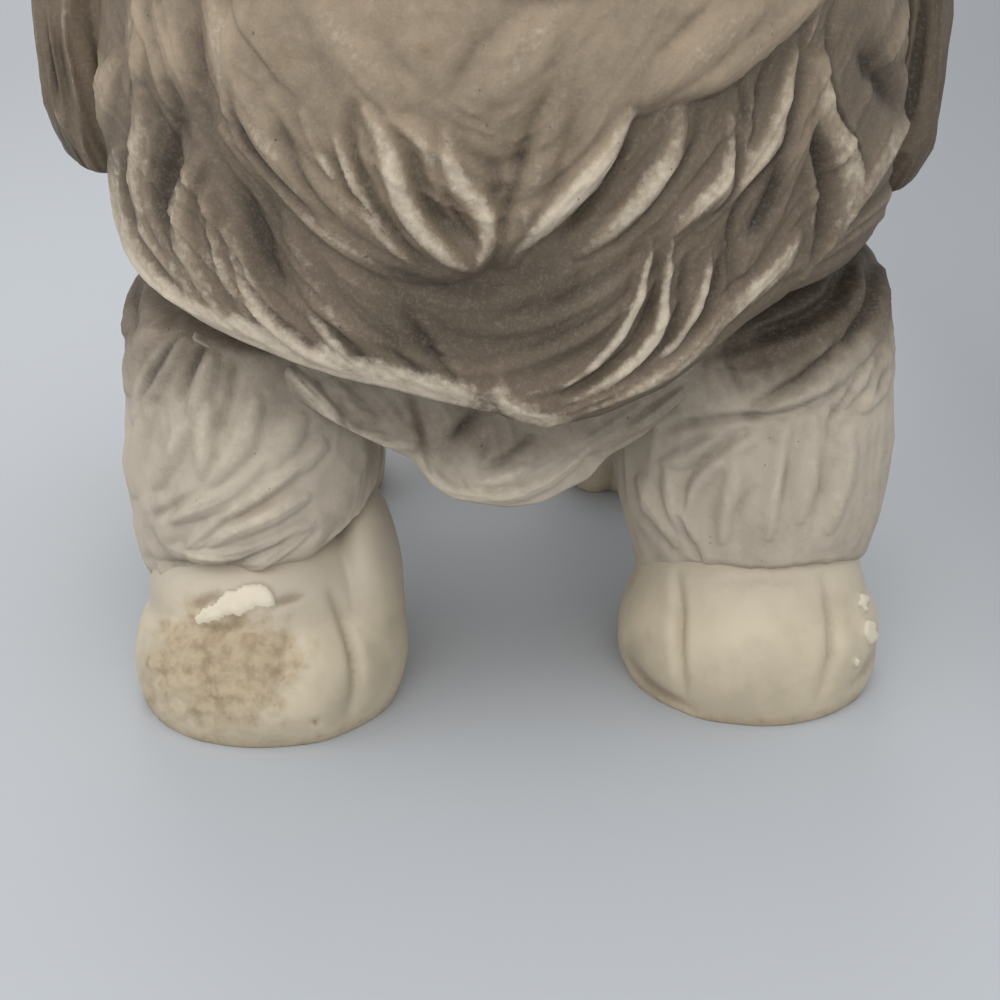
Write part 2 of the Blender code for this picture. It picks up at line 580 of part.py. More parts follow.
def build_squeaker(parts, guides, aluminium, brass, bronze):
    """Squeaker: a flanged cup with a slotted reed plate, a riveted reed and a cap with holes."""
    port = (0.0, PORT_Y)
    flange_top = PORT_SEAT_Z - SEAT_GAP
    floor_low = flange_top - CUP_FLANGE_THICKNESS
    floor_top = floor_low + CUP_FLANGE_THICKNESS
    top = floor_low + CUP_HEIGHT
    inner = CUP_RADIUS - CUP_WALL
    plate_low = floor_top + PLATE_HEIGHT
    cap_low = top - CAP_THICKNESS - CUP_WALL
    lip_low = PORT_SEAT_Z + WALL + SEAT_GAP
    lip_top = lip_low + 2.0 * (CUP_LIP_RADIUS - CUP_RADIUS)
    lip_middle = (lip_low + lip_top) / 2.0
    plate_ledge = plate_low - SEAT_GAP
    cap_ledge = cap_low - SEAT_GAP
    cap_bore = inner + LEDGE_WIDTH * 0.4
    profile = [
        (inner - LEDGE_WIDTH, top), (CUP_RADIUS, top), (CUP_RADIUS, lip_top), (CUP_LIP_RADIUS, lip_middle),
        (CUP_RADIUS, lip_low), (CUP_RADIUS, flange_top), (CUP_FLANGE_RADIUS, flange_top),
        (CUP_FLANGE_RADIUS, floor_low + 0.3 * CUP_FLANGE_THICKNESS),
        (CUP_FLANGE_RADIUS - 0.5 * CUP_FLANGE_THICKNESS, floor_low), (SOUND_HOLE_RADIUS, floor_low),
        (SOUND_HOLE_RADIUS, floor_top), (inner - LEDGE_WIDTH, floor_top), (inner - LEDGE_WIDTH, plate_ledge),
        (inner, plate_ledge), (inner, cap_ledge), (cap_bore, cap_ledge),
        (cap_bore, cap_low + CAP_THICKNESS + SEAT_GAP),
        (inner - LEDGE_WIDTH, cap_low + CAP_THICKNESS + SEAT_GAP),
    ]
    cup = turned("squeaker_cup", parts, profile, port)
    cup.data.materials.append(aluminium)

    plate_radius = inner - SEAT_GAP
    plate = cylinder("squeaker_reed_plate", parts, port, plate_radius, plate_low, plate_low + PLATE_THICKNESS)
    slot_low_y = PORT_Y - SLOT_LENGTH / 2.0 + REED_ROOT / 2.0
    hinge_y = slot_low_y
    rivet_y = hinge_y - REED_ROOT / 2.0
    cut(plate, [block("slot", guides, (-SLOT_WIDTH / 2.0, hinge_y, plate_low - CUT_OVERRUN),
                      (SLOT_WIDTH / 2.0, hinge_y + SLOT_LENGTH, plate_low + CUT_OVERRUN)),
                cylinder("plate_rivet_hole", guides, (0.0, rivet_y), RIVET_RADIUS + SEAT_GAP,
                         plate_low - CUT_OVERRUN, plate_low + CUT_OVERRUN, 16)])
    plate.data.materials.append(brass)

    reed_low = plate_low + PLATE_THICKNESS + SEAT_GAP
    reed_top = reed_low + REED_THICKNESS
    reed = block("squeaker_reed", parts, (-REED_WIDTH / 2.0, hinge_y - REED_ROOT, reed_low),
                 (REED_WIDTH / 2.0, hinge_y - REED_ROOT + REED_LENGTH, reed_top))
    cut(reed, [cylinder("reed_rivet_hole", guides, (0.0, rivet_y), RIVET_RADIUS + SEAT_GAP * 0.6,
                        reed_low - CUT_OVERRUN, reed_top + CUT_OVERRUN, 16)])
    reed.data.materials.append(bronze)
    set_origin(reed, (0.0, hinge_y, reed_low))

    tail_low = plate_low - SEAT_GAP
    head_low = reed_top + SEAT_GAP
    rivet_profile = [
        (0.0, head_low + RIVET_HEAD_THICKNESS), (0.6 * RIVET_HEAD_RADIUS, head_low + RIVET_HEAD_THICKNESS),
        (RIVET_HEAD_RADIUS, head_low + 0.4 * RIVET_HEAD_THICKNESS), (RIVET_HEAD_RADIUS, head_low),
        (RIVET_RADIUS, head_low), (RIVET_RADIUS, tail_low), (RIVET_HEAD_RADIUS, tail_low),
        (RIVET_HEAD_RADIUS, tail_low - 0.6 * RIVET_HEAD_THICKNESS),
        (0.6 * RIVET_HEAD_RADIUS, tail_low - RIVET_HEAD_THICKNESS), (0.0, tail_low - RIVET_HEAD_THICKNESS),
    ]
    rivet = turned("squeaker_rivet", parts, rivet_profile, (0.0, rivet_y), 16)
    rivet.data.materials.append(aluminium)

    cap = cylinder("squeaker_cap", parts, port, cap_bore - SEAT_GAP, cap_low, cap_low + CAP_THICKNESS)
    holes = []
    for i in range(CAP_HOLE_COUNT):
        angle = 2.0 * math.pi * i / CAP_HOLE_COUNT
        centre = (CAP_HOLE_CIRCLE * math.sin(angle), PORT_Y + CAP_HOLE_CIRCLE * math.cos(angle))
        holes.append(cylinder("cap_hole" + str(i), guides, centre, CAP_HOLE_RADIUS,
                              cap_low - CUT_OVERRUN / 5.0, cap_low + CUT_OVERRUN / 5.0, 12))
    cut(cap, holes)
    cap.data.materials.append(aluminium)


def main():
    empty_file()
    parts = new_collection("squeak_toy_dog")
    guides = new_collection("guides")
    body_rubber = new_material("body_rubber", RUBBER, 0.62, 0.0)
    head_rubber = new_material("head_rubber", RUBBER_GREY, 0.62, 0.0)
    aluminium = new_material("aluminium", ALUMINIUM, 0.35, 1.0)
    brass = new_material("brass", BRASS, 0.35, 1.0)
    bronze = new_material("bronze", BRONZE, 0.30, 1.0)
    build_body(parts, guides, body_rubber)
    build_head(parts, guides, head_rubber)
    build_squeaker(parts, guides, aluminium, brass, bronze)


main()
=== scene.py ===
"""Looks of the rubber squeak toy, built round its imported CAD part.

Every new surface is made in millimetres as a grid of points and turned into metres at the end. Left and
right are the picture's: the dog's right side is at -X. Hair that the photograph shows is traced as lines of
pixels, and each surface reads them through the photograph's camera. Hair that it doesn't show is a
repeatable noise.
"""
import math

import bpy
import numpy as np
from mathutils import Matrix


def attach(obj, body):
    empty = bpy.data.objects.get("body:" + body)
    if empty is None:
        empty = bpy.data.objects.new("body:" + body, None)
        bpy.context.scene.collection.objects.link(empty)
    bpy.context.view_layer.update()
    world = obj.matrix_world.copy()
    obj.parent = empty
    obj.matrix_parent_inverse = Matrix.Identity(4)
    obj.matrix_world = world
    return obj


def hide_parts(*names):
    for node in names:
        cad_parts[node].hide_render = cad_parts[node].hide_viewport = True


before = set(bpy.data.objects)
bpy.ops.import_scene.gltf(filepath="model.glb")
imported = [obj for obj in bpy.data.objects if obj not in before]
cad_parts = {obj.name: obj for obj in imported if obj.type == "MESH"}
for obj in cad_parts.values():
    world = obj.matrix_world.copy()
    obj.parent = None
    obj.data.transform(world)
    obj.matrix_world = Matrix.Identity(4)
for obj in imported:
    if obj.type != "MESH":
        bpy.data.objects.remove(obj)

bl_info = {
    "name": "Squeak toy looks",
    "version": (1, 0, 0),
    "blender": (4, 5, 0),
    "location": "View3D > Sidebar > Squeak Toy",
    "description": "Builds the shaggy dog's mouldings, their worn finish and a pale studio round them",
    "category": "Add Mesh",
}

MM = 0.001

# The photograph's camera, in millimetres and degrees
CAMERA_PLACE = (-23.7, -287.2, 131.9)
CAMERA_TILT = 67.35
CAMERA_TURN = -5.05
CAMERA_LENS = 68.4
SENSOR = 36.0
PICTURE = 1000.0

# Head
HEAD_MIDDLE_Y = -26.0
HEAD_HALF_WIDTH = 53.2
HEAD_HALF_DEPTH = 42.2
HEAD_TOP_Z = 152.0
CHEEK_Z = 82.0
RIM_SHARE = 0.949          # size of the lower rim over the size at the cheeks
NECK_Y = -24.0
NECK_SEAT_Z = 73.3
HEAD_SWING = 20.0
HAIR_GAP = 1.1             # room between the turning head and the body
UNDER_SOFT = 1.6           # roundness of what the head presses down
FRINGE_SWELL = 4.6         # how far the hair over the brow stands out
LOCK_GAIN = 1.25           # height of the traced hair over its listed height
LEG_GAIN = 1.30            # the same again for the legs

# Lower rim of the head: degrees from the front, positive to the dog's left, and height
HEAD_RIM = ((-180.0, 71.0), (-130.0, 68.5), (-100.0, 66.0), (-84.0, 64.5), (-74.0, 61.5), (-55.0, 59.2),
            (-41.6, 57.2), (-29.0, 55.0), (-19.0, 53.6), (-5.2, 51.0), (1.6, 48.9), (9.7, 50.2),
            (19.4, 53.0), (26.5, 56.6), (33.0, 60.0), (42.0, 62.6), (64.0, 63.6), (84.0, 65.0),
            (100.0, 66.5), (130.0, 68.5), (180.0, 71.0))

# Underside of the head and top of the chest: a dome about the neck, radius and height
NECK_DOME = ((22.0, 73.3), (27.6, 67.5), (32.9, 60.3), (35.4, 52.3), (36.0, 44.3))

# Traced hair. Each lock: half width in pixels, height in millimetres, how worn its top is, and its line.
HEAD_LOCKS = {
    "cheek edge": (11, 0.9, 0.55, ((147, -10), (143, 38), (140, 77), (139, 100))),
    "behind ear edge": (10, 1.0, 0.45, ((126, 52), (115, 82), (109, 115), (108, 145), (113, 174),
                                        (120, 190))),
    "left rim": (13, 1.3, 0.95, ((124, 150), (126, 191), (134, 228), (150, 262), (176, 292), (204, 312),
                                 (240, 338), (280, 358), (320, 374), (365, 381))),
    "second from rim": (9, 1.2, 0.70, ((143, 84), (149, 115), (149, 150), (147, 185), (155, 222),
                                       (170, 254), (190, 285), (212, 312))),
    "third from rim": (10, 1.2, 0.62, ((160, 128), (160, 165), (163, 205), (176, 242), (196, 278),
                                       (218, 306))),
    "valley side": (13, 1.4, 0.66, ((204, 160), (193, 184), (187, 212), (190, 240), (202, 272), (222, 304),
                                    (250, 332), (280, 350))),
    "long left": (9, 1.1, 0.66, ((214, 190), (215, 218), (221, 246), (232, 275), (250, 305), (272, 330))),
    "streaked left": (10, 1.2, 0.85, ((236, 225), (248, 262), (264, 296), (285, 322), (312, 345),
                                      (345, 366), (366, 376))),
    "pocket right": (12, 0.9, 0.42, ((292, 215), (300, 245), (314, 276), (334, 305), (356, 328),
                                     (378, 350))),
    "inner left": (7, 0.6, 0.75, ((312, 305), (330, 328), (350, 348), (370, 368))),
    "under muzzle left": (16, 0.8, 0.35, ((340, 248), (360, 285), (388, 320), (420, 350), (450, 380),
                                          (480, 398))),
    "tip left": (10, 0.8, 0.45, ((420, 318), (440, 345), (462, 372), (488, 396))),
    "muzzle edge left": (13, 1.3, 0.55, ((232, 126), (258, 152), (288, 182), (320, 212), (356, 240),
                                         (398, 263), (440, 276))),
    "muzzle second": (13, 1.1, 0.45, ((250, 71), (269, 98), (288, 134), (308, 170), (330, 203),
                                      (362, 235))),
    "muzzle third": (12, 1.0, 0.45, ((288, 92), (302, 122), (318, 150), (338, 184), (366, 216),
                                     (392, 240))),
    "left of specks": (8, 0.9, 0.55, ((318, 104), (332, 136), (348, 168), (368, 198), (392, 228))),
    "right of specks": (8, 1.1, 0.90, ((350, 128), (360, 155), (371, 182), (384, 208), (400, 234),
                                       (420, 260))),
    "pocket middle": (7, 0.5, 0.25, ((371, 122), (375, 150), (384, 176), (400, 206), (424, 240))),
    "main worn ridge": (11, 1.5, 1.00, ((376, 102), (390, 124), (399, 146), (406, 170), (414, 194),
                                        (430, 220), (450, 244), (474, 262))),
    "ridge branch": (9, 0.9, 0.55, ((398, 110), (419, 120), (432, 136), (437, 158), (444, 182))),
    "tip right": (11, 1.3, 0.95, ((450, 128), (455, 156), (464, 176), (480, 192), (489, 212), (488, 236),
                                  (478, 262))),
    "right of groove": (14, 1.2, 0.35, ((556, 112), (541, 140), (530, 170), (520, 200), (508, 232),
                                        (498, 258))),
    "long worn right": (12, 1.2, 1.00, ((622, 108), (603, 141), (577, 172), (553, 200), (528, 232),
                                        (508, 258))),
    "patch right": (12, 1.0, 0.78, ((676, 108), (668, 146), (653, 172), (634, 198), (606, 226),
                                    (576, 250))),
    "second patch": (9, 1.0, 0.82, ((724, 112), (727, 146), (718, 176), (700, 194), (682, 212),
                                    (658, 236))),
    "third patch": (9, 1.1, 0.80, ((789, 50), (779, 86), (768, 124), (752, 152), (738, 172), (716, 200),
                                   (694, 226))),
    "streak high": (6, 0.7, 0.60, ((747, 88), (745, 112), (741, 142), (733, 165))),
    "long right": (12, 1.1, 0.20, ((806, 60), (800, 100), (790, 140), (775, 176), (762, 210), (748, 240),
                                   (735, 268))),
    "lit edge": (6, 0.9, 0.40, ((800, 140), (805, 188), (805, 216), (802, 252), (792, 278))),
    "mottled": (15, 1.3, 0.70, ((816, 60), (818, 95), (824, 125), (836, 146), (842, 178), (836, 208),
                                (822, 236))),
    "outer right": (11, 1.1, 0.55, ((896, 70), (897, 98), (889, 124), (875, 152), (858, 182), (838, 206),
                                    (820, 236))),
    "right rim": (9, 1.0, 0.45, ((915, 66), (916, 107), (907, 141), (892, 173), (873, 200), (848, 224),
                                 (812, 252), (776, 272))),
    "low right worn": (9, 1.0, 0.85, ((792, 232), (776, 256), (754, 280), (730, 304), (704, 332))),
    "thin one": (5, 0.8, 1.00, ((648, 240), (642, 268), (633, 302), (616, 334), (590, 362), (558, 386))),
    "thin two": (6, 0.9, 1.00, ((667, 240), (662, 276), (656, 318), (641, 346), (608, 376), (562, 402))),
    "thin three": (5, 0.8, 0.95, ((706, 254), (699, 282), (689, 312), (668, 342), (640, 366))),
    "low rim right": (10, 1.1, 0.60, ((742, 282), (716, 312), (690, 346), (660, 370), (622, 388),
                                      (575, 408), (540, 418))),
    "tip": (13, 1.0, 0.80, ((500, 372), (503, 392), (520, 410), (550, 418), (580, 410))),
    "broad low middle": (20, 0.7, 0.15, ((560, 270), (560, 300), (545, 335), (530, 365))),
    "broad low right": (18, 0.9, 0.15, ((618, 250), (600, 285), (580, 318), (556, 346))),
    "cheek broad": (20, 0.6, 0.35, ((176, -10), (176, 40), (180, 86), (184, 110))),
    "cheek inner": (18, 0.6, 0.50, ((222, -10), (228, 40), (236, 84), (246, 120))),
    "cheek right broad": (16, 0.7, 0.30, ((880, -10), (884, 30), (890, 66))),
    "brow right": (14, 0.8, 0.40, ((800, -10), (768, 26), (732, 54), (700, 76), (668, 92))),
    "brow right inner": (16, 0.7, 0.40, ((740, -10), (700, 26), (664, 60), (636, 92))),
    "upper middle": (20, 0.5, 0.40, ((566, -10), (530, 30), (498, 66), (474, 96))),
    "upper left": (18, 0.5, 0.45, ((330, -10), (352, 26), (380, 60), (404, 92))),
}
HEAD_GROOVES = {
    "ear line": (5, 0.7, ((137, 120), (135, 163), (139, 191), (150, 228), (170, 262), (197, 296))),
    "second": (5, 0.7, ((152, 99), (162, 116), (166, 140), (163, 170), (166, 205), (180, 240), (200, 272),
                        (216, 300))),
    "wide valley": (15, 1.1, ((176, 86), (181, 120), (177, 150), (172, 180), (173, 208), (184, 240))),
    "between": (5, 0.7, ((211, 205), (213, 228), (220, 252), (230, 278), (248, 306))),
    "left pocket": (14, 1.2, ((248, 186), (254, 206), (262, 232), (272, 262), (290, 290))),
    "left pocket broad": (22, 0.6, ((262, 184), (278, 210), (290, 240))),
    "muzzle scoop": (10, 1.2, ((243, 78), (248, 108), (260, 136), (280, 160), (304, 188), (330, 214))),
    "muzzle scoop two": (8, 0.9, ((293, 100), (300, 124), (311, 150), (326, 178), (348, 208))),
    "speck groove": (5, 0.9, ((325, 116), (333, 132), (348, 152), (357, 176), (374, 196), (394, 222),
                              (412, 244))),
    "pocket": (10, 1.1, ((362, 100), (361, 125), (368, 156), (379, 184), (394, 210), (410, 232),
                         (434, 256))),
    "inner crease": (5, 0.9, ((449, 187), (458, 204), (467, 221), (481, 236))),
    "inner valley": (11, 0.9, ((417, 150), (421, 172), (432, 196), (450, 214), (470, 230))),
    "dark triangle": (11, 0.8, ((484, 158), (496, 164), (498, 178), (493, 192))),
    "middle groove": (9, 0.9, ((552, 76), (536, 100), (527, 126), (519, 152), (511, 178), (504, 204),
                               (498, 232), (493, 256))),
    "upper groove": (12, 0.6, ((500, 20), (482, 34), (466, 58), (454, 84))),
    "upper groove left": (10, 0.5, ((378, 25), (393, 38), (410, 58), (428, 78), (446, 92))),
    "under muzzle right": (8, 1.0, ((630, 114), (616, 152), (602, 180), (580, 208), (560, 236))),
    "patch crease": (6, 0.9, ((698, 107), (694, 134), (679, 161), (659, 188), (638, 214), (612, 240))),
    "patch crease two": (5, 0.8, ((731, 130), (732, 160), (727, 187), (713, 207), (692, 224))),
    "long crease": (6, 1.0, ((797, 28), (797, 50), (790, 80), (782, 118), (773, 147), (755, 171),
                             (738, 194), (728, 222), (726, 256), (724, 292))),
    "crease high": (5, 0.6, ((773, 54), (762, 70), (752, 107), (744, 140))),
    "crease high two": (5, 0.6, ((734, 80), (741, 100), (739, 126))),
    "right pocket": (11, 1.3, ((772, 154), (766, 180), (758, 206), (744, 234))),
    "lit valley": (9, 1.3, ((806, 128), (813, 160), (815, 192), (812, 226), (804, 258))),
    "cheek crease": (5, 0.9, ((833, -4), (824, 27), (824, 66), (829, 106), (843, 130), (851, 152),
                              (853, 178))),
    "right hollow": (12, 1.2, ((856, 50), (868, 70), (882, 92), (886, 112))),
    "rim crease": (4, 0.6, ((904, 110), (900, 142), (888, 170), (866, 198), (836, 222))),
    "rim crease two": (4, 0.5, ((922, 60), (922, 110), (912, 146), (892, 184), (860, 216), (820, 246))),
    "thin valley": (5, 0.8, ((656, 250), (650, 300), (630, 340), (594, 372), (560, 394))),
    "thin valley two": (6, 0.8, ((684, 250), (677, 300), (662, 340), (632, 366))),
    "low right valley": (8, 0.9, ((722, 240), (714, 276), (700, 306), (678, 338))),
    "low left valley": (6, 0.8, ((238, 232), (250, 268), (270, 300), (298, 326), (330, 352), (362, 374))),
    "low left valley two": (6, 0.8, ((320, 312), (346, 336), (366, 356), (382, 376))),
    "beard mark": (8, 0.55, ((408, 312), (424, 334), (442, 358), (462, 380))),
    "beard mark two": (7, 0.6, ((392, 342), (412, 362), (436, 378))),
    "tip strand": (3, 0.4, ((500, 384), (514, 400), (540, 408), (570, 402))),
    "tip strand two": (3, 0.4, ((530, 416), (570, 408), (610, 392), (646, 370))),
    "brow groove": (8, 0.5, ((700, -8), (668, 26), (640, 58))),
    "cheek soft": (14, 0.7, ((200, -10), (203, 40), (208, 90), (216, 130))),
}
# Steps where one lock lies over another: reach in pixels, height, and a line whose right side is higher
HEAD_STEPS = {
    "left brow": (9, 0.7, ((311, 90), (294, 71), (279, 50), (260, 25), (244, 0), (236, -12))),
    "right brow": (9, 0.7, ((832, -12), (819, 0), (800, 21), (781, 32), (762, 45), (741, 64), (727, 78),
                            (711, 94), (695, 99), (669, 102))),
    "cheek edge": (7, 0.9, ((138, 104), (140, 77), (143, 38), (147, -10))),
}
# Brown smudges: middle, half width and half height in pixels, and strength
HEAD_SMUDGES = ((429.0, 40.0, 12.0, 16.0, 0.75), (298.0, 45.0, 24.0, 24.0, 0.55),
                (330.0, 135.0, 9.0, 16.0, 0.60), (368.0, 190.0, 12.0, 30.0, 0.55),
                (845.0, 235.0, 26.0, 16.0, 0.45))
# Lower edge of the muzzle's swell, closed over the top of the picture
MUZZLE_EDGE = ((244, -60), (226, 40), (228, 110), (248, 146), (290, 186), (330, 221), (390, 262),
               (455, 284), (487, 268), (522, 246), (566, 226), (604, 186), (632, 118), (672, 100),
               (716, 90), (770, 40), (820, -4), (850, -60))

LEG_LOCKS = {
    "left a": (11, 0.8, 0.6, ((320, 446), (284, 475), (246, 504), (215, 530), (188, 548))),
    "left b": (9, 0.7, 0.6, ((304, 497), (269, 515), (235, 528), (206, 545))),
    "left c": (9, 0.8, 0.7, ((308, 528), (280, 546), (246, 560), (197, 556), (168, 546))),
    "left d": (10, 0.8, 0.5, ((270, 452), (246, 479), (224, 497), (190, 510), (165, 522))),
    "left e": (9, 0.8, 0.6, ((206, 400), (206, 441), (204, 476))),
    "left f": (8, 0.7, 0.5, ((190, 420), (179, 441), (168, 463), (156, 486))),
    "left g": (8, 0.7, 0.5, ((150, 410), (139, 440), (134, 464), (136, 494))),
    "left h": (9, 0.7, 0.5, ((160, 500), (163, 522), (170, 548))),
    "left i": (10, 0.9, 0.5, ((184, 326), (160, 366), (146, 394), (136, 420))),
    "left j": (9, 0.8, 0.5, ((212, 350), (202, 390), (192, 424))),
    "left k": (10, 0.8, 0.5, ((256, 400), (240, 450), (210, 486))),
    "left l": (11, 0.7, 0.3, ((300, 420), (282, 450), (262, 474))),
    "left shoulder": (11, 1.2, 0.4, ((130, 252), (120, 280), (114, 306), (120, 330))),
    "left m": (9, 0.8, 0.3, ((165, 290), (150, 330), (134, 360), (128, 390))),
    "right a": (11, 1.0, 0.5, ((836, 322), (800, 338), (760, 352), (712, 362))),
    "right b": (9, 0.9, 0.5, ((852, 352), (822, 386), (797, 402), (764, 412))),
    "right c": (9, 0.7, 0.5, ((752, 440), (716, 462), (696, 486), (690, 512))),
    "right d": (8, 0.7, 0.5, ((874, 352), (854, 382), (838, 408))),
    "right e": (8, 0.7, 0.5, ((886, 350), (876, 388), (862, 410))),
    "right f": (9, 0.7, 0.6, ((786, 424), (778, 478), (768, 536))),
    "right g": (9, 0.7, 0.6, ((848, 432), (842, 478), (828, 530))),
    "right h": (9, 1.0, 0.4, ((856, 262), (848, 306), (824, 340), (790, 366))),
    "right i": (9, 1.0, 0.4, ((880, 270), (874, 318), (854, 356), (824, 392))),
    "right j": (9, 0.7, 0.5, ((716, 440), (690, 456), (664, 462))),
    "right k": (9, 0.7, 0.6, ((812, 420), (806, 470), (800, 520))),
    "right l": (8, 0.7, 0.6, ((668, 470), (676, 506), (692, 540))),
    "right m": (8, 0.7, 0.6, ((640, 480), (656, 512), (672, 545))),
    "right n": (9, 0.7, 0.6, ((738, 452), (730, 500), (722, 540))),
}
LEG_GROOVES = {
    "left a": (6, 0.7, ((300, 474), (260, 506), (224, 524), (206, 540))),
    "left ankle": (9, 1.0, ((310, 530), (286, 541), (260, 553), (224, 565), (175, 567), (150, 560))),
    "left b": (7, 0.7, ((196, 497), (178, 506), (154, 516))),
    "left c": (8, 1.0, ((180, 322), (167, 354), (151, 384), (140, 404))),
    "left d": (8, 1.0, ((207, 328), (192, 366), (180, 400))),
    "left e": (7, 0.8, ((137, 262), (130, 298), (130, 330))),
    "left f": (8, 0.7, ((235, 360), (226, 410), (214, 440))),
    "right a": (7, 1.0, ((838, 344), (808, 374), (781, 391), (752, 408))),
    "right b": (6, 0.9, ((836, 388), (788, 411), (742, 417), (700, 421), (660, 430))),
    "right c": (6, 0.8, ((744, 430), (706, 458), (688, 480), (680, 508))),
    "right d": (5, 0.7, ((864, 360), (844, 396), (831, 422), (830, 448))),
    "right e": (5, 0.7, ((883, 370), (873, 398))),
    "right f": (6, 0.6, ((736, 524), (742, 504), (754, 489))),
    "right g": (6, 0.8, ((670, 548), (654, 526), (638, 506))),
    "right h": (6, 0.8, ((680, 515), (690, 543), (700, 566))),
    "right i": (11, 1.3, ((846, 262), (832, 296), (800, 320), (762, 330))),
    "right j": (7, 1.0, ((872, 262), (864, 310), (838, 346))),
    "right k": (6, 0.6, ((790, 440), (786, 480), (780, 520))),
    "right l": (6, 0.6, ((826, 450), (822, 490), (814, 530))),
    "right ankle": (8, 0.9, ((684, 566), (716, 570), (768, 576), (840, 568), (872, 566))),
}
BIB_LOCKS = {
    "rim left": (10, 0.9, 0.8, ((290, 372), (320, 402), (346, 432), (377, 443), (412, 446))),
    "rim low": (10, 1.0, 0.9, ((424, 462), (432, 478), (448, 490), (481, 494), (522, 488), (560, 468),
                               (588, 446))),
    "middle": (8, 0.7, 0.8, ((470, 484), (496, 478), (530, 468))),
    "right": (10, 0.8, 0.4, ((690, 384), (652, 410), (610, 434), (580, 452))),
    "left fold": (9, 0.7, 0.3, ((330, 384), (350, 404), (372, 420))),
    "centre": (12, 0.6, 0.2, ((450, 406), (446, 436), (440, 462))),
}
BIB_GROOVES = {
    "left": (6, 0.9, ((410, 394), (419, 424), (426, 453), (432, 470))),
    "pocket": (12, 1.2, ((480, 412), (462, 428), (450, 444))),
    "middle": (5, 0.5, ((490, 438), (484, 464))),
    "pocket right": (10, 1.1, ((536, 436), (510, 458), (484, 470))),
    "left small": (6, 0.6, ((340, 396), (344, 420), (350, 436))),
    "right": (9, 1.0, ((698, 380), (660, 401), (624, 424))),
    "rim": (5, 0.7, ((590, 440), (558, 464), (530, 480), (495, 488), (451, 482))),
}
# Lower edge of the bib: across and height
BIB_EDGE = ((-43.0, 55.0), (-38.6, 52.4), (-34.0, 49.6), (-29.1, 46.6), (-24.5, 43.6), (-18.1, 40.2),
            (-14.0, 38.0), (-12.4, 35.0), (-9.0, 32.4), (-1.2, 30.7), (3.6, 31.3), (6.0, 32.8), (9.8, 34.4),
            (12.0, 37.4), (17.0, 39.8), (23.2, 45.0), (31.0, 52.0), (36.0, 57.0))
BIB_TOP_Z = 66.0
BIB_FRONT_Y = -49.5

# Legs, from the top down: middle across, middle along, half width, half depth, height
LEFT_LEG = ((-30.0, -20.0, 9.0, 9.0, 66.0), (-33.0, -24.0, 16.0, 15.0, 63.0),
            (-34.6, -28.0, 18.2, 18.5, 57.0), (-35.6, -30.0, 18.4, 18.2, 48.0),
            (-35.8, -31.5, 17.9, 18.0, 40.0), (-36.0, -32.5, 17.8, 17.8, 32.0),
            (-36.0, -33.2, 17.6, 17.8, 26.0), (-35.7, -33.8, 16.8, 17.2, 22.0),
            (-35.4, -34.4, 15.0, 15.6, 19.6), (-35.3, -35.2, 11.6, 12.2, 17.6),
            (-35.2, -36.0, 4.0, 4.0, 16.4))
RIGHT_LEG = ((30.0, -20.0, 9.0, 9.0, 68.0), (32.5, -24.0, 16.0, 15.0, 65.0),
             (34.0, -28.0, 19.6, 18.5, 58.0), (34.8, -30.0, 20.6, 18.2, 48.0),
             (35.4, -31.5, 20.4, 18.0, 41.0), (35.6, -32.5, 20.0, 17.8, 34.0),
             (36.0, -33.2, 18.9, 17.6, 27.0), (35.8, -33.8, 17.0, 17.0, 22.0),
             (35.4, -34.4, 15.0, 15.4, 19.6), (35.0, -35.2, 11.6, 12.2, 17.6),
             (34.8, -36.0, 4.0, 4.0, 16.4))
HIND_LEG = ((22.0, 42.0, 8.0, 12.0, 74.0), (27.0, 43.5, 14.0, 17.0, 68.0), (32.0, 45.0, 18.6, 19.0, 58.0),
            (34.4, 45.8, 19.4, 19.0, 48.0), (34.6, 46.0, 18.8, 18.0, 38.0), (34.6, 45.0, 17.8, 17.2, 28.0),
            (34.5, 43.5, 16.8, 16.8, 22.0), (34.5, 43.0, 15.0, 15.4, 19.6), (34.5, 42.5, 11.6, 12.2, 17.6),
            (34.5, 42.0, 4.0, 4.0, 16.4))
# Height of each leg's hem of hair over its paw: at the front, at +X, at the back and at -X
LEG_HEMS = {
    "left": (25.6, 31.5, 16.5, 19.0),
    "right": (22.2, 18.6, 16.5, 17.0),
    "hind": (19.0, 18.0, 16.5, 18.0),
}
HEM_LOCKS = 1.3            # how far the locks of a hem differ in height
HEM_PLAN_Z = 22.0
HEM_START_Z = 40.0

# Paws: each lobe's middle and half sizes, from the paw's own middle
PAW_LOBES = {
    "left": ((0.0, -1.0, 4.6, 19.6, 20.3, 16.6), (0.0, 0.4, 15.0, 16.8, 17.0, 12.0),
             (5.4, -2.0, 5.0, 9.0, 19.0, 12.5), (13.2, 2.0, 12.0, 6.2, 14.0, 17.0)),
    "right": ((0.2, -1.0, 4.6, 19.2, 20.6, 16.0), (0.4, 0.4, 13.0, 16.4, 16.8, 11.0)),
    "hind": ((0.0, -1.0, 5.5, 11.2, 19.8, 15.0), (12.6, 1.5, 5.5, 6.2, 15.6, 13.0),
             (-12.6, 1.5, 5.5, 6.2, 15.6, 13.0), (0.0, 1.0, 6.0, 16.0, 17.8, 17.0)),
}
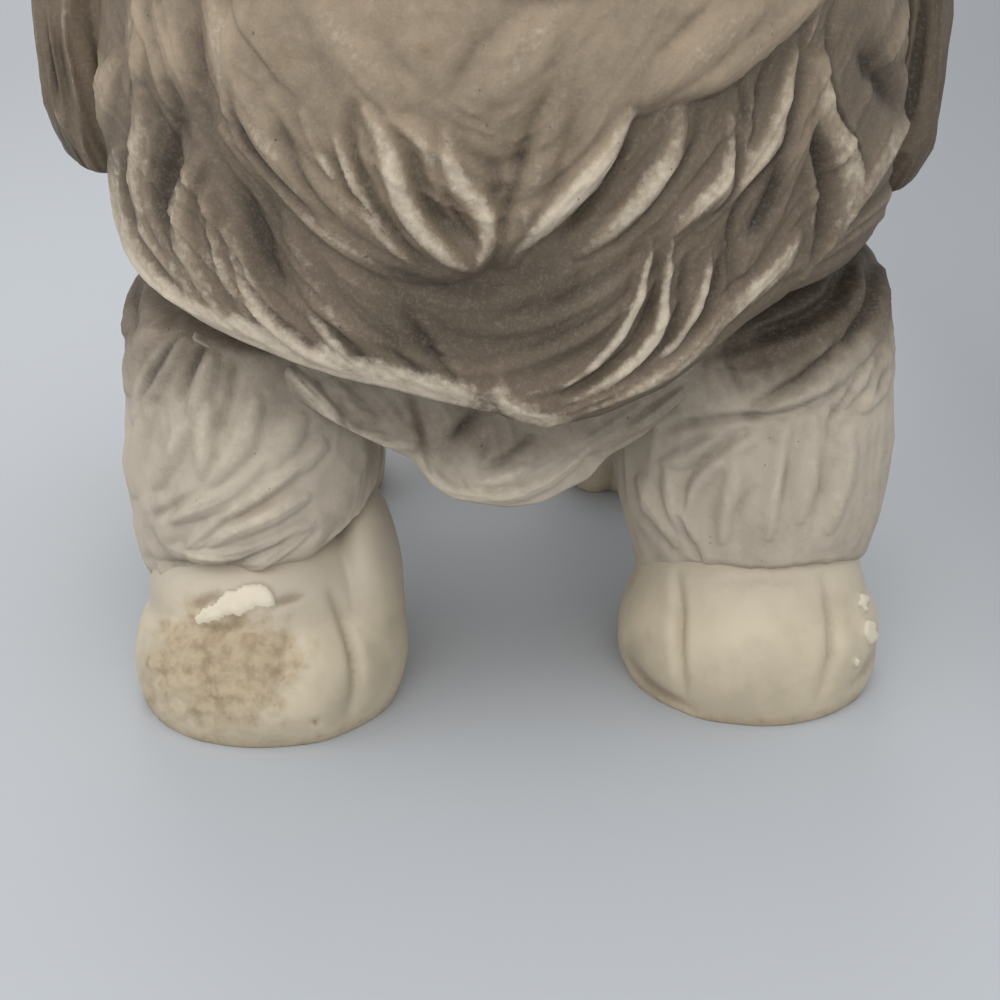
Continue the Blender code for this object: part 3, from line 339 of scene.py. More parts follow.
# Traced on the front paws, in pixels: grooves between the toes, also darkened as painted shade (reach,
# depth, line), dark lines that are partly painted shadow beside the chips and in creases and partly grime
# (reach, strength, line), and white flakes (middle, size)
PAW_GROOVES = (
    (6.0, 1.2, ((334, 594), (346, 624), (355, 655), (357, 687), (350, 712))),
    (9.0, 0.9, ((196, 636), (202, 676), (212, 730))),
    (10.0, 0.6, ((292, 628), (283, 664), (286, 722))),
    (6.0, 1.1, ((676, 576), (679, 610), (678, 650), (684, 702))),
    (7.0, 1.1, ((826, 578), (833, 615), (834, 655), (822, 698))),
)
PAW_SHADOW_AND_GRIME_LINES = (
    (7.0, 1.0, ((184, 608), (204, 599), (226, 591))),
    (6.0, 1.0, ((268, 605), (288, 598), (308, 594))),
    (7.0, 0.9, ((198, 625), (224, 628), (252, 618))),
    (9.0, 0.7, ((184, 702), (192, 712), (204, 722))),
    (4.0, 0.9, ((312, 721), (316, 723), (319, 722))),
    (6.0, 0.9, ((622, 646), (640, 674), (660, 692), (702, 714))),
    (6.0, 0.7, ((843, 693), (864, 672), (882, 638))),
    (9.0, 0.45, ((690, 588), (740, 582), (800, 582), (826, 590))),
)
# White chips on the paw at the left, in pixels: middle, half width, half height and slope
PAW_CHIPS = ((243.0, 600.0, 25.0, 14.0, -0.25), (217.0, 613.0, 20.0, 8.5, -0.30),
             (264.0, 601.0, 12.0, 7.0, 0.10))
PAW_FLAKES = ((864.0, 602.0, 8.0), (868.0, 632.0, 8.0), (855.0, 662.0, 6.0))
LEFT_PAW_PLACE = (-35.0, -37.5, 1.0)
RIGHT_PAW_PLACE = (34.8, -37.5, 1.0)
HIND_PAW_PLACE = (34.5, 41.5, 1.0)

FAR_AWAY = 1e9
TINY = 1e-9
# Odd multipliers that mix the two cell numbers and the seed of a noise
HASH_CELL = (374761393, 668265263)
HASH_SEED = 974634777
HASH_MIX = 1274126177
HASH_MASK = 0xFFFFFFFF

TOY_HEART = (0.0, 0.0, 80.0)
HEAD_HEART_Z = 92.0
NECK_ROOM_RADIUS = 35.4    # inside it the neck's dome may stand over the rim's height
HEAD_REACH = (61.0, 48.0)  # half width and half depth of what hangs from the head
ROOM_OUTSIDE = 120.0

# Hair over the brow: where it ends in degrees from the front, and heights where it starts and ends
BROW_ANGLES = (48.0, 30.0)
BROW_FROM_Z = (112.0, 119.0)
BROW_TO_Z = (150.0, 136.0)

# Hair on the front of the head: the place it flows from and how far it reaches, in pixels
FLOW_MIDDLE = (492.0, -60.0)
FLOW_REACH = (400.0, 480.0)
FLOW_POWER = 1.6
FACE_SEED = 31
FOLD_SEED = 37
MUZZLE_RISE = 34.0         # pixels from the muzzle's edge to its full height
MUZZLE_SWELL = 2.8

BEARD_GRID = (600, 160)
BEARD_HALF_ANGLE = 122.0
BEARD_MIDDLE_Z = 86.0
BEARD_TOP_Z = 117.0
BEARD_PROUD = 0.9
BEARD_TUCK = 2.4           # how far its border goes into the crown
BEARD_THICK = 3.2
BEARD_TOP_THICKER = 2.5
RUBBED_RIM = (6.6, 2.4)    # heights over the rim where the rubbed band starts and is full
CHEEK_SEED = 57
# painted shade on the insides of the beard and the bib
INSIDE_SHADE = 0.3
INSIDE_SHADE_GREY = 0.6

CROWN_GRID = (170, 360)
CROWN_UNDER_ROWS = 26
CROWN_SHARE = 0.8          # share of the rows above the cheek
CROWN_SEED = 71

# Ears, from the top down: middle across, middle along, half width, half depth, height
EAR_PLAN = ((36.0, -16.0, 4.0, 7.0, 136.0), (44.0, -16.0, 6.4, 11.0, 129.0),
            (51.5, -16.0, 7.0, 13.6, 114.0), (55.8, -16.0, 7.2, 14.8, 98.0), (56.2, -15.8, 7.2, 15.0, 85.0),
            (55.6, -15.5, 6.9, 13.4, 77.0), (54.0, -15.5, 5.6, 9.6, 70.0))
# Each ear: side, how much lower and how much nearer it hangs, its grey and its extra shade
EARS = {
    "right_ear": (-1, -1.6, 0.0, 0.82, 0.0),
    "left_ear": (1, 3.5, 0.3, 1.0, 0.35),
}
EAR_GRID = (170, 168)
EAR_SEED = 83

# Fringe locks: degrees from the front, heights of root and tip, and half width
FRINGE_FALLS = ((-42.0, 129.0, 106.0, 7.5), (-28.0, 138.0, 104.0, 8.0), (-14.0, 145.0, 110.0, 8.5),
                (1.0, 147.5, 112.0, 8.5), (15.0, 145.0, 109.0, 8.5), (29.0, 138.0, 105.0, 8.0),
                (43.0, 129.0, 107.0, 7.5), (-56.0, 120.0, 101.0, 6.5), (57.0, 120.0, 102.0, 6.5))
FRINGE_THICKS = (0.3, 2.0, 2.8, 3.3, 3.2, 2.3, 0.3)
FRINGE_PROUD = 0.9
FRINGE_HEART_Z = 95.0
FRINGE_LIFT_REACH = 45.0   # distance from the head's heart over which a lock is carried out in full
LIFT_Z = 122.0
FRINGE_GRID = (90, 56)
FRINGE_SEED = 90

NOSE_PLACE = (0.0, -68.6, 108.0)
NOSE_LOBES = ((0.0, 0.0, 0.0, 7.4, 5.4, 5.2), (-4.0, -0.8, -0.8, 4.6, 4.4, 4.2),
              (4.0, -0.8, -0.8, 4.6, 4.4, 4.2))
NOSE_GRID = (60, 96)
NOSTRIL_TOWARD = (0.42, -0.86, -0.28)
NOSTRIL_DEPTH = 1.6
NOSTRIL_SPREAD = 0.035

# Torso, from the chest back: place along, half width, middle height, half height
TORSO_PLAN = ((-46.0, 8.0, 52.0, 8.0), (-44.0, 24.0, 54.0, 14.0), (-38.0, 37.0, 55.0, 19.0),
              (-26.0, 43.0, 57.5, 23.0), (-10.0, 43.0, 58.5, 24.0), (6.0, 42.4, 58.5, 24.0),
              (22.0, 42.0, 60.0, 25.6), (36.0, 42.4, 61.5, 26.6), (48.0, 39.0, 62.5, 24.0),
              (57.0, 30.0, 64.0, 19.0), (62.5, 17.0, 67.0, 11.5), (64.5, 5.0, 69.0, 4.0))
TORSO_GRID = (230, 260)
TORSO_SEED = 101
# The squeaker's recess in the belly
PORT_Y = 6.0
PORT_FLAT_RADIUS = 9.8
PORT_RADIUS = 11.2
PORT_REACH = 14.0
PORT_TOP_Z = 37.2
PORT_LOW_Z = 34.2

TAIL_PATH = ((0.0, 48.0, 62.0), (0.0, 58.0, 72.0), (0.0, 64.5, 84.0), (0.0, 65.5, 96.0), (0.0, 61.0, 106.0),
             (0.0, 53.5, 111.5))
TAIL_OUT = ((0.0, 0.9, -0.5), (0.0, 1.0, -0.4), (0.0, 1.0, -0.1), (0.0, 1.0, 0.25), (0.0, 0.8, 0.7),
            (0.0, 0.5, 1.0))
TAIL_WIDTHS = (3.0, 10.0, 10.6, 9.8, 7.0, 0.8)
TAIL_THICKS = (3.0, 9.0, 9.6, 8.8, 6.0, 0.8)
TAIL_GRID = (150, 130)
TAIL_SEED = 151

BIB_GRID = (260, 110)
BIB_FOLDS = (3.0, 8.0)     # how far it folds back, at the picture's left and right
BIB_ROOM = 0.4             # room that its top keeps under the head, besides the hair's
BIB_THICK = 3.2
BIB_SEED = 121
LEG_GRID = (190, 240)
PAW_GRID = (180, 260)
PAW_SEED = 140
# Brown stain on the paw at the left, in pixels: middle, half width and half height
PAW_STAIN = (220.0, 664.0, 88.0, 68.0)

# Colours, as linear values
WARM = (0.458, 0.390, 0.306)
TAN = (0.362, 0.276, 0.188)
PALE = (0.59, 0.504, 0.388)
# GREY is the sprayed grey and also painted shade; DEEP is painted shade in grooves and hollows, and dark
# specks
GREY = (0.140, 0.104, 0.070)
DEEP = (0.048, 0.035, 0.023)
PAW_CREAM = (0.540, 0.458, 0.330)
PAW_CHIP = (0.64, 0.56, 0.43)
STAIN = (0.40, 0.305, 0.190)
BROWN = (0.205, 0.142, 0.082)
FLOOR = (0.455, 0.468, 0.485)
# Painted shade: the floor darkens far behind the toy and to its right.
# Start and end of each change in metres, and shares
FLOOR_FAR = (0.02, 0.55)
FLOOR_FAR_SHARE = 0.78
FLOOR_SIDE = (0.05, 0.12)
FLOOR_NEAR = (-0.20, -0.05)
FLOOR_SIDE_SHADE = 0.62
NOSE_DARK = (0.030, 0.026, 0.024)
NOSE_WORN = (0.09, 0.08, 0.07)
WORLD = (0.86, 0.90, 0.94)
# Metals of the squeaker: clean and tarnished
METALS = {
    "aluminium": ((0.72, 0.73, 0.74), (0.42, 0.42, 0.42)),
    "brass": ((0.72, 0.52, 0.20), (0.35, 0.24, 0.11)),
    "bronze": ((0.62, 0.38, 0.20), (0.30, 0.18, 0.10)),
}
METAL_OF = {
    "squeaker_cup": "aluminium",
    "squeaker_reed_plate": "brass",
    "squeaker_reed": "bronze",
    "squeaker_rivet": "aluminium",
    "squeaker_cap": "aluminium",
}

# Lamps: place and size in metres, power in watts, colour
LAMPS = {
    "overhead": ((-0.05, -0.05, 0.85), 0.80, 0.8, (1.0, 0.99, 0.97)),
    "front": ((-0.12, -0.70, 0.60), 0.80, 2.9, (1.0, 0.985, 0.96)),
    "window": ((-0.70, -0.20, 0.45), 0.60, 1.3, (0.95, 0.97, 1.0)),
    "behind": ((0.0, 1.05, 0.62), 0.80, 4.0, (1.0, 0.99, 0.98)),
}
LAMP_AIM = (0.0, -0.02, 0.05)
# Floor and backdrop, in metres
FLOOR_HALF_WIDTH = 5.0
BACK_Y = 3.0
BACK_BEND = 0.8
BACK_TOP_Z = 3.5


# Whole-array helpers

def smooth(low, high, value):
    """A soft step: s = t*t*(3 - 2t), with t = (value - low)/(high - low) kept to 0...1."""
    t = np.clip((value - low) / (high - low), 0.0, 1.0)
    return t * t * (3.0 - 2.0 * t)


def curve(points, share):
    """A Catmull-Rom line through the points, at shares 0...1 of its number of spans."""
    points = np.asarray(points, float)
    place = np.clip(np.asarray(share, float), 0.0, 1.0) * (len(points) - 1)
    span = np.minimum(place.astype(int), len(points) - 2)
    t = (place - span)[..., None]
    last = len(points) - 1
    a, b, c, d = (points[np.clip(span + k, 0, last)] for k in (-1, 0, 1, 2))
    return 0.5 * (2.0 * b + (c - a) * t + (2.0 * a - 5.0 * b + 4.0 * c - d) * t ** 2
                  + (3.0 * b - a - 3.0 * c + d) * t ** 3)


def hashed(cell_x, cell_y, seed):
    """A repeatable number 0...1 for each whole-number cell: its place is multiplied, shifted and mixed."""
    cells = cell_x.astype(np.int64) * HASH_CELL[0] + cell_y.astype(np.int64) * HASH_CELL[1]
    h = (cells + seed * HASH_SEED) & HASH_MASK
    h = ((h ^ (h >> 13)) * HASH_MIX) & HASH_MASK
    return ((h ^ (h >> 16)) & 0xFFFF) / 65535.0


def noise(x, y, seed, wrap=None):
    """Smooth noise -1...1: the numbers of a cell's four corners, blended with t*t*(3 - 2t)."""
    x, y = np.broadcast_arrays(x, y)
    cx, cy = np.floor(x), np.floor(y)
    tx, ty = x - cx, y - cy
    tx, ty = tx * tx * (3.0 - 2.0 * tx), ty * ty * (3.0 - 2.0 * ty)
    nx = cx + 1
    if wrap:
        cx, nx = np.mod(cx, wrap), np.mod(nx, wrap)
    low = hashed(cx, cy, seed) * (1.0 - tx) + hashed(nx, cy, seed) * tx
    high = hashed(cx, cy + 1, seed) * (1.0 - tx) + hashed(nx, cy + 1, seed) * tx
    return 2.0 * (low * (1.0 - ty) + high * ty) - 1.0


def strands(across, along, seed, wrap=None):
    """Hair, 0...1: 0.68*(1 - |n|)**1.5 for a broad noise n, plus 0.32 times the same for one twice as fine.

    Both noises are long one way, and a third, slower one bends them.
    """
    quarter = wrap // 4 if wrap else None
    double = 2 * wrap if wrap else None
    bend = noise(across / 4.0, along * 0.8, seed, quarter)
    broad = 1.0 - np.abs(noise(across + 1.1 * bend, along, seed + 1, wrap))
    fine = 1.0 - np.abs(noise(2.0 * across + 1.6 * bend, 1.4 * along, seed + 2, double))
    return 0.68 * broad ** 1.5 + 0.32 * fine ** 1.5


def photo_axes():
    """The camera's right, up and forward directions."""
    tilt, turn = math.radians(90.0 - CAMERA_TILT), math.radians(CAMERA_TURN)
    right = np.array([math.cos(turn), math.sin(turn), 0.0])
    level = np.array([-math.sin(turn), math.cos(turn), 0.0])
    forward = level * math.cos(tilt) - np.array([0.0, 0.0, math.sin(tilt)])
    return right, np.cross(right, forward), forward


def to_photo(points):
    """Pixel places of points: x = middle + f*r/d and y = middle - f*u/d, d along the camera's axis."""
    right, up, forward = photo_axes()
    offset = points - np.array(CAMERA_PLACE)
    depth = offset @ forward
    focal = PICTURE * CAMERA_LENS / SENSOR
    return PICTURE / 2.0 + focal * (offset @ right) / depth, PICTURE / 2.0 - focal * (offset @ up) / depth


def nearness(px, py, line, reach):
    """Where pixels lie by a traced line.

    Returns which ones are near, their distance, their side (+ to the line's right) and their share along it.
    The nearest point of each short span is at t = (p - a).(b - a)/|b - a|**2, kept to 0...1.
    """
    fine = curve(line, np.linspace(0.0, 1.0, 3 * (len(line) - 1) + 1))
    low, high = fine.min(0) - reach, fine.max(0) + reach
    near = (px > low[0]) & (px < high[0]) & (py > low[1]) & (py < high[1])
    x, y = px[near], py[near]
    best, side, share = np.full(x.shape, FAR_AWAY), np.ones(x.shape), np.zeros(x.shape)
    steps = np.hypot(*(fine[1:] - fine[:-1]).T)
    start = np.concatenate([[0.0], np.cumsum(steps)])
    for k in range(len(fine) - 1):
        (ax, ay), (bx, by) = fine[k], fine[k + 1]
        dx, dy = bx - ax, by - ay
        t = np.clip(((x - ax) * dx + (y - ay) * dy) / (steps[k] ** 2), 0.0, 1.0)
        ox, oy = x - ax - t * dx, y - ay - t * dy
        distance = np.hypot(ox, oy)
        closer = distance < best
        best = np.where(closer, distance, best)
        side = np.where(closer, np.where(dx * oy - dy * ox > 0.0, 1.0, -1.0), side)
        share = np.where(closer, (start[k] + t * steps[k]) / start[-1], share)
    return near, best, side, share


def tapered(share, start, run, power=1.0):
    """How full a traced line is along its length: sin(pi*(start + run*share))**power."""
    return np.sin(math.pi * np.clip(start + run * share, 0.0, 1.0)) ** power


def traced(px, py, locks, grooves, steps=None):
    """Relief of traced hair: its height, how worn its top is and how deep its grooves are.

    A lock is h*(1 - (d/w)**2)**0.95 at a distance d from its line, with strands that run beside it, and the
    highest lock counts. A groove takes away h*(1 - d/w)**1.4. At a step, one side is raised and the other
    lowered by h*exp(-d/w)/2, and the sunk field paints a shadow along it.
    """
    raised, worn, sunk = np.zeros(px.shape), np.zeros(px.shape), np.zeros(px.shape)
    for width, height, wear, line in locks.values():
        near, distance, side, share = nearness(px, py, line, 1.65 * width)
        taper = tapered(share, 0.10, 0.84, 0.5)
        across = np.clip(1.0 - (distance / (1.5 * width * taper)) ** 2, 0.0, 1.0)
        strand = 1.0 + 0.10 * np.cos(side * distance * 0.95 + 5.0 * share)
        raised[near] = np.maximum(raised[near], height * taper * across ** 0.95 * strand)
        worn[near] = np.maximum(worn[near], wear * taper * across ** 1.2)
    for width, depth, line in grooves.values():
        near, distance, _, share = nearness(px, py, line, 1.5 * width)
        taper = tapered(share, 0.06, 0.88, 0.6)
        cut = depth * taper * np.clip(1.0 - distance / (1.4 * width), 0.0, 1.0) ** 1.4
        sunk[near] = np.maximum(sunk[near], cut)
    height = LOCK_GAIN * (raised - sunk)
    for reach, amount, line in (steps or {}).values():
        near, distance, side, share = nearness(px, py, line, 5.0 * reach)
        taper = tapered(share, 0.0, 1.0, 0.5)
        edge = np.clip(distance / 2.5, 0.0, 1.0)
        height[near] += 0.5 * amount * taper * side * edge * np.exp(-distance / (2.0 * reach))
        # painted shadow: a dark line along each step, where one lock lies over another
        sunk[near] = np.maximum(sunk[near], amount * taper * np.exp(-(distance / 3.0) ** 2))
    return height, worn, sunk


def inside_swell(px, py, outline, rise):
    """Height 0...1 inside a closed outline of pixels: 1 - (1 - t)**2, at t = distance/rise from its edge."""
    closed = list(outline) + [outline[0]]
    distance, inside = np.full(px.shape, FAR_AWAY), np.zeros(px.shape, bool)
    for (ax, ay), (bx, by) in zip(closed[:-1], closed[1:]):
        dx, dy = bx - ax, by - ay
        t = np.clip(((px - ax) * dx + (py - ay) * dy) / (dx * dx + dy * dy), 0.0, 1.0)
        distance = np.minimum(distance, np.hypot(px - ax - t * dx, py - ay - t * dy))
        if ay != by:
            inside ^= ((ay > py) != (by > py)) & (px < (bx - ax) * (py - ay) / (by - ay) + ax)
    t = np.clip(distance / rise, 0.0, 1.0)
    return np.where(inside, 1.0 - (1.0 - t) ** 2, 0.0)


def round_angles(sides):
    """Angles of a closed row, as one row of a grid."""
    return (np.arange(sides) / sides * 2.0 * math.pi)[None, :]


def directions_from(points, middle):
    """Unit directions from a middle point to each point."""
    away = points - np.array(middle)
    return away / np.linalg.norm(away, axis=-1, keepdims=True)


def with_poles(rows):
    """The same grid with its first and last rows shrunk to a point."""
    rows[0], rows[-1] = rows[0].mean(0), rows[-1].mean(0)
    return rows


def narrowing(across, power):
    """How a sheet narrows towards its ends at -1 and 1: sqrt(1 - |x|**power), and never under 0.12."""
    return np.maximum(np.clip(1.0 - np.abs(across) ** power, 0.0, 1.0) ** 0.5, 0.12)


def outward(rows):
    """Unit normals of a closed grid, n = du x dv, turned so that they point away from its inside."""
    around = np.roll(rows, -1, 1) - np.roll(rows, 1, 1)
    along = np.gradient(rows, axis=0)
    normal = np.cross(around, along)
    if np.sum(rows * normal) - np.sum(rows.mean((0, 1)) * normal) < 0.0:
        normal = -normal
    length = np.linalg.norm(normal, axis=2, keepdims=True)
    normal = normal / np.maximum(length, TINY)
    normal[0], normal[-1] = normal[1].mean(0), normal[-2].mean(0)
    return normal


def thicken(outer, plain, depth, back_step=4):
    """A closed sheet: each row runs down the outside, round the lower lip and up the inside.

    Depth is the thickness at each point of a row, taken along the normals of the plain sheet. It follows
    half a circle at both lips, and the first and last rows shrink to a point. The inside keeps only each
    fourth point.
    """
    normal = np.cross(np.gradient(plain, axis=0), np.gradient(plain, axis=1))
    normal /= np.maximum(np.linalg.norm(normal, axis=2, keepdims=True), TINY)
    if np.sum((plain - np.array(TOY_HEART)) * normal) < 0.0:
        normal = -normal
    steps = np.linalg.norm(np.diff(outer, axis=1), axis=2)
    run = np.concatenate([np.zeros((len(outer), 1)), np.cumsum(steps, 1)], 1)
    lip = np.minimum(run, run[:, -1:] - run)
    part = np.clip(lip / depth, 0.0, 1.0)
    inner = outer - normal * (depth * np.sqrt(1.0 - (1.0 - part) ** 2))[..., None]
    back = inner[:, 1:-1][:, ::-1][:, ::back_step]
    return with_poles(np.concatenate([outer, back], 1))


def turned_outward(rows, fields):
    """A grid and its fields, with each row turned round if its faces would point inward."""
    edge = np.roll(rows, -1, 1)
    volume = np.sum(np.cross(rows[:-1], edge[:-1]) * edge[1:] + np.cross(rows[:-1], edge[1:]) * rows[1:])
    if volume > 0.0:
        rows = rows[:, ::-1]
        fields = {key: value[:, ::-1] for key, value in fields.items()}
    return rows, fields


def flipped(mesh):
    """Whether a closed mesh points inward: the sum of face centre . normal * area is negative."""
    count = len(mesh.polygons)
    normal, centre, area = np.zeros(3 * count), np.zeros(3 * count), np.zeros(count)
    mesh.polygons.foreach_get("normal", normal)
    mesh.polygons.foreach_get("center", centre)
    mesh.polygons.foreach_get("area", area)
    return np.sum((normal * centre).reshape(-1, 3).sum(1) * area) < 0.0


def grid_mesh(name, rows):
    """A closed mesh of a grid: quads between its rows, and a fan of triangles at each pole."""
    count, sides = rows.shape[:2]
    points = np.concatenate([rows[0, :1], rows[1:-1].reshape(-1, 3), rows[-1, :1]]) * MM
    ring = np.arange(sides)
    after = (ring + 1) % sides
    start = 1 + np.arange(count - 3)[:, None] * sides
    quads = np.stack([start + ring, start + after, start + sides + after, start + sides + ring], 2)
    last = len(points) - 1
    base = last - sides
    first_fan = np.stack([np.zeros(sides, int), 1 + after, 1 + ring], 1)
    last_fan = np.stack([np.full(sides, last), base + ring, base + after], 1)
    corners = np.concatenate([first_fan.ravel(), quads.ravel(), last_fan.ravel()])
    sizes = np.concatenate([np.full(sides, 3), np.full((count - 3) * sides, 4), np.full(sides, 3)])
    mesh = bpy.data.meshes.new(name)
    mesh.vertices.add(len(points))
    mesh.vertices.foreach_set("co", points.astype(np.float32).ravel())
    mesh.loops.add(len(corners))
    mesh.loops.foreach_set("vertex_index", corners.astype(np.int32))
    mesh.polygons.add(len(sizes))
    mesh.polygons.foreach_set("loop_start", (np.cumsum(sizes) - sizes).astype(np.int32))
    mesh.update(calc_edges=True)
    if flipped(mesh):
        mesh.flip_normals()
    mesh.shade_smooth()
    return mesh


def make_piece(name, rows, fields, material, body):
    """Turn a closed grid of points into a mesh that rides on a CAD body.

    Rows run from one pole to the other, and each row closes on itself. The two poles are one point each.
    Fields are numbers per point that the material reads.
    """
    rows, fields = turned_outward(rows, fields)
    mesh = grid_mesh(name, rows)
    for key, value in fields.items():
        numbers = np.concatenate([[value[0].mean()], value[1:-1].ravel(), [value[-1].mean()]])
        attribute = mesh.attributes.new(key, "FLOAT", "POINT")
        attribute.data.foreach_set("value", numbers.astype(np.float32))
    mesh.materials.append(material)
    made = bpy.data.objects.new(name, mesh)
    bpy.context.scene.collection.objects.link(made)
    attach(made, body)
    return made


def hair_fields(hair, spray_and_shade, worn=(0.5, 0.70, 0.95), sunk=(1.2, 0.46, 0.14)):
    """Noise hair: worn on its ridges, sunk shade painted in its valleys, each as amount, start and full."""
    return {
        "worn": worn[0] * smooth(worn[1], worn[2], hair),
        "sunk": sunk[0] * smooth(sunk[1], sunk[2], hair),
        "spray_and_shade": spray_and_shade + 0.0 * hair,
        "rough": 0.0 * hair,
    }


def finish_sheet(name, rows, samples, worn, sunk, spray_and_shade, material, body, rough=None):
    """Make the piece of a thickened sheet, whose inside takes plain fields of painted shade."""
    plain = np.zeros((len(rows), rows.shape[1] - samples))
    rough = np.zeros_like(worn) if rough is None else rough
    fields = {
        "worn": np.concatenate([worn, plain], 1),
        "sunk": np.concatenate([sunk, plain + INSIDE_SHADE], 1),
        "spray_and_shade": np.concatenate([spray_and_shade, plain + INSIDE_SHADE_GREY], 1),
        "rough": np.concatenate([rough, plain], 1),
    }
    return make_piece(name, rows, fields, material, body)


# Shapes of the head

def rim_height(angle):
    """Height of the head's lower rim at an angle from the front, in radians."""
    table = np.array(HEAD_RIM)
    return np.interp(np.degrees(angle), table[:, 0], table[:, 1])


def head_scale(height, rim):
    """Share of the cheek's size at a height: sqrt(1 - q**2.8) above the cheek, 1 - c*(1 - t)**1.8 below."""
    q = np.clip((height - CHEEK_Z) / (HEAD_TOP_Z - CHEEK_Z), 0.0, 1.0)
    t = np.clip((height - rim) / (CHEEK_Z - rim), 0.0, 1.0)
    below = 1.0 - (1.0 - RIM_SHARE) * (1.0 - t) ** 1.8
    return np.where(height > CHEEK_Z, np.sqrt(1.0 - q ** 2.8), below)


def head_point(angle, height, proud=0.0):
    """A point of the plain head: an ellipse round its middle line, scaled with height."""
    scale = head_scale(height, rim_height(angle))
    return np.stack([(HEAD_HALF_WIDTH * scale + proud) * np.sin(angle),
                     HEAD_MIDDLE_Y - (HEAD_HALF_DEPTH * scale + proud) * np.cos(angle),
                     height + 0.0 * angle], -1)


def brow_swell(angle, height):
    """How far the hair over the brow stands out: soft steps in angle and height, multiplied."""
    across = smooth(*np.radians(BROW_ANGLES), np.abs(angle))
    return FRINGE_SWELL * across * smooth(*BROW_FROM_Z, height) * smooth(*BROW_TO_Z, height)


def dome_radius(height):
    """Radius of the dome about the neck at a height."""
    table = np.array(NECK_DOME)[::-1]
    return np.interp(height, table[:, 1], table[:, 0])


def hair_flow(px, py):
    """Places in the hair on the front of the head: how far down it a pixel lies, and its angle.

    The first is (|x|**1.6 + y**1.6)**(1/1.6), with x and y as shares of how far the hair reaches.
    """
    x, y = px - FLOW_MIDDLE[0], py - FLOW_MIDDLE[1]
    across = np.abs(x / FLOW_REACH[0]) ** FLOW_POWER
    down = (np.clip(y, 0.0, None) / FLOW_REACH[1]) ** FLOW_POWER
    return (across + down) ** (1.0 / FLOW_POWER), np.arctan2(y, x)


def head_fields(points):
    """Relief and finish of the traced front of the head, at points that the photograph's camera sees.

    The traced hair lies on the muzzle's swell, with fine strands and broad folds of noise along its flow,
    which are quieter on the muzzle. Its grey holds a painted highlight on high relief and a painted shadow
    under the muzzle. Returns height, worn, sunk, spray, smudge and the row of each pixel.
    """
    px, py = to_photo(points)
    height, worn, sunk = traced(px, py, HEAD_LOCKS, HEAD_GROOVES, HEAD_STEPS)
    flow, turn = hair_flow(px, py)
    hair = strands(44.0 * flow, 2.2 * turn, FACE_SEED)
    folds = strands(17.0 * flow + 0.5, 1.7 * turn, FOLD_SEED)
    swell = inside_swell(px, py, MUZZLE_EDGE, MUZZLE_RISE)
    quiet = 1.0 - 0.6 * swell * smooth(150.0, 60.0, py)
    height = height + MUZZLE_SWELL * swell + (0.46 * (hair - 0.55) + (folds - 0.55)) * quiet
    hollows = 0.22 * np.clip(0.55 - hair, 0.0, 1.0) + 0.75 * np.clip(0.50 - folds, 0.0, 1.0)
    sunk = sunk + hollows * quiet
    worn = np.maximum(worn, 0.42 * smooth(0.74, 0.95, folds) * quiet)
    lower = smooth(40.0, 240.0, py + 0.22 * np.abs(px - 500.0))
    # painted highlight and shade: the higher the relief, the less grey, so ridges read lighter and low
    # places darker
    crest_light_and_shade = smooth(-0.2, 1.5, height) - 0.35
    cheek = smooth(270.0, 190.0, px) * smooth(150.0, 90.0, py)
    spray_and_shade = 0.62 + 0.38 * lower + 0.05 * swell * smooth(190.0, 60.0, py)
    spray_and_shade = spray_and_shade - 0.22 * cheek - 0.20 * worn - 0.42 * crest_light_and_shade
    # painted shadow under the muzzle's edge, over the middle of the beard: greyer and darker
    shade = (1.0 - swell) * smooth(90.0, 20.0, np.abs(py - 300.0)) * smooth(150.0, 60.0, np.abs(px - 480.0))
    spray_and_shade = np.clip(spray_and_shade + 0.34 * shade, 0.0, 1.0)
    sunk = sunk + 0.56 * shade
    smudge = 0.0 * px
    for x, y, wide, high, strength in HEAD_SMUDGES:
        spot = np.exp(-((px - x) / wide) ** 2 - ((py - y) / high) ** 2)
        smudge = np.maximum(smudge, strength * spot)
    return height, worn, sunk, spray_and_shade, smudge, py


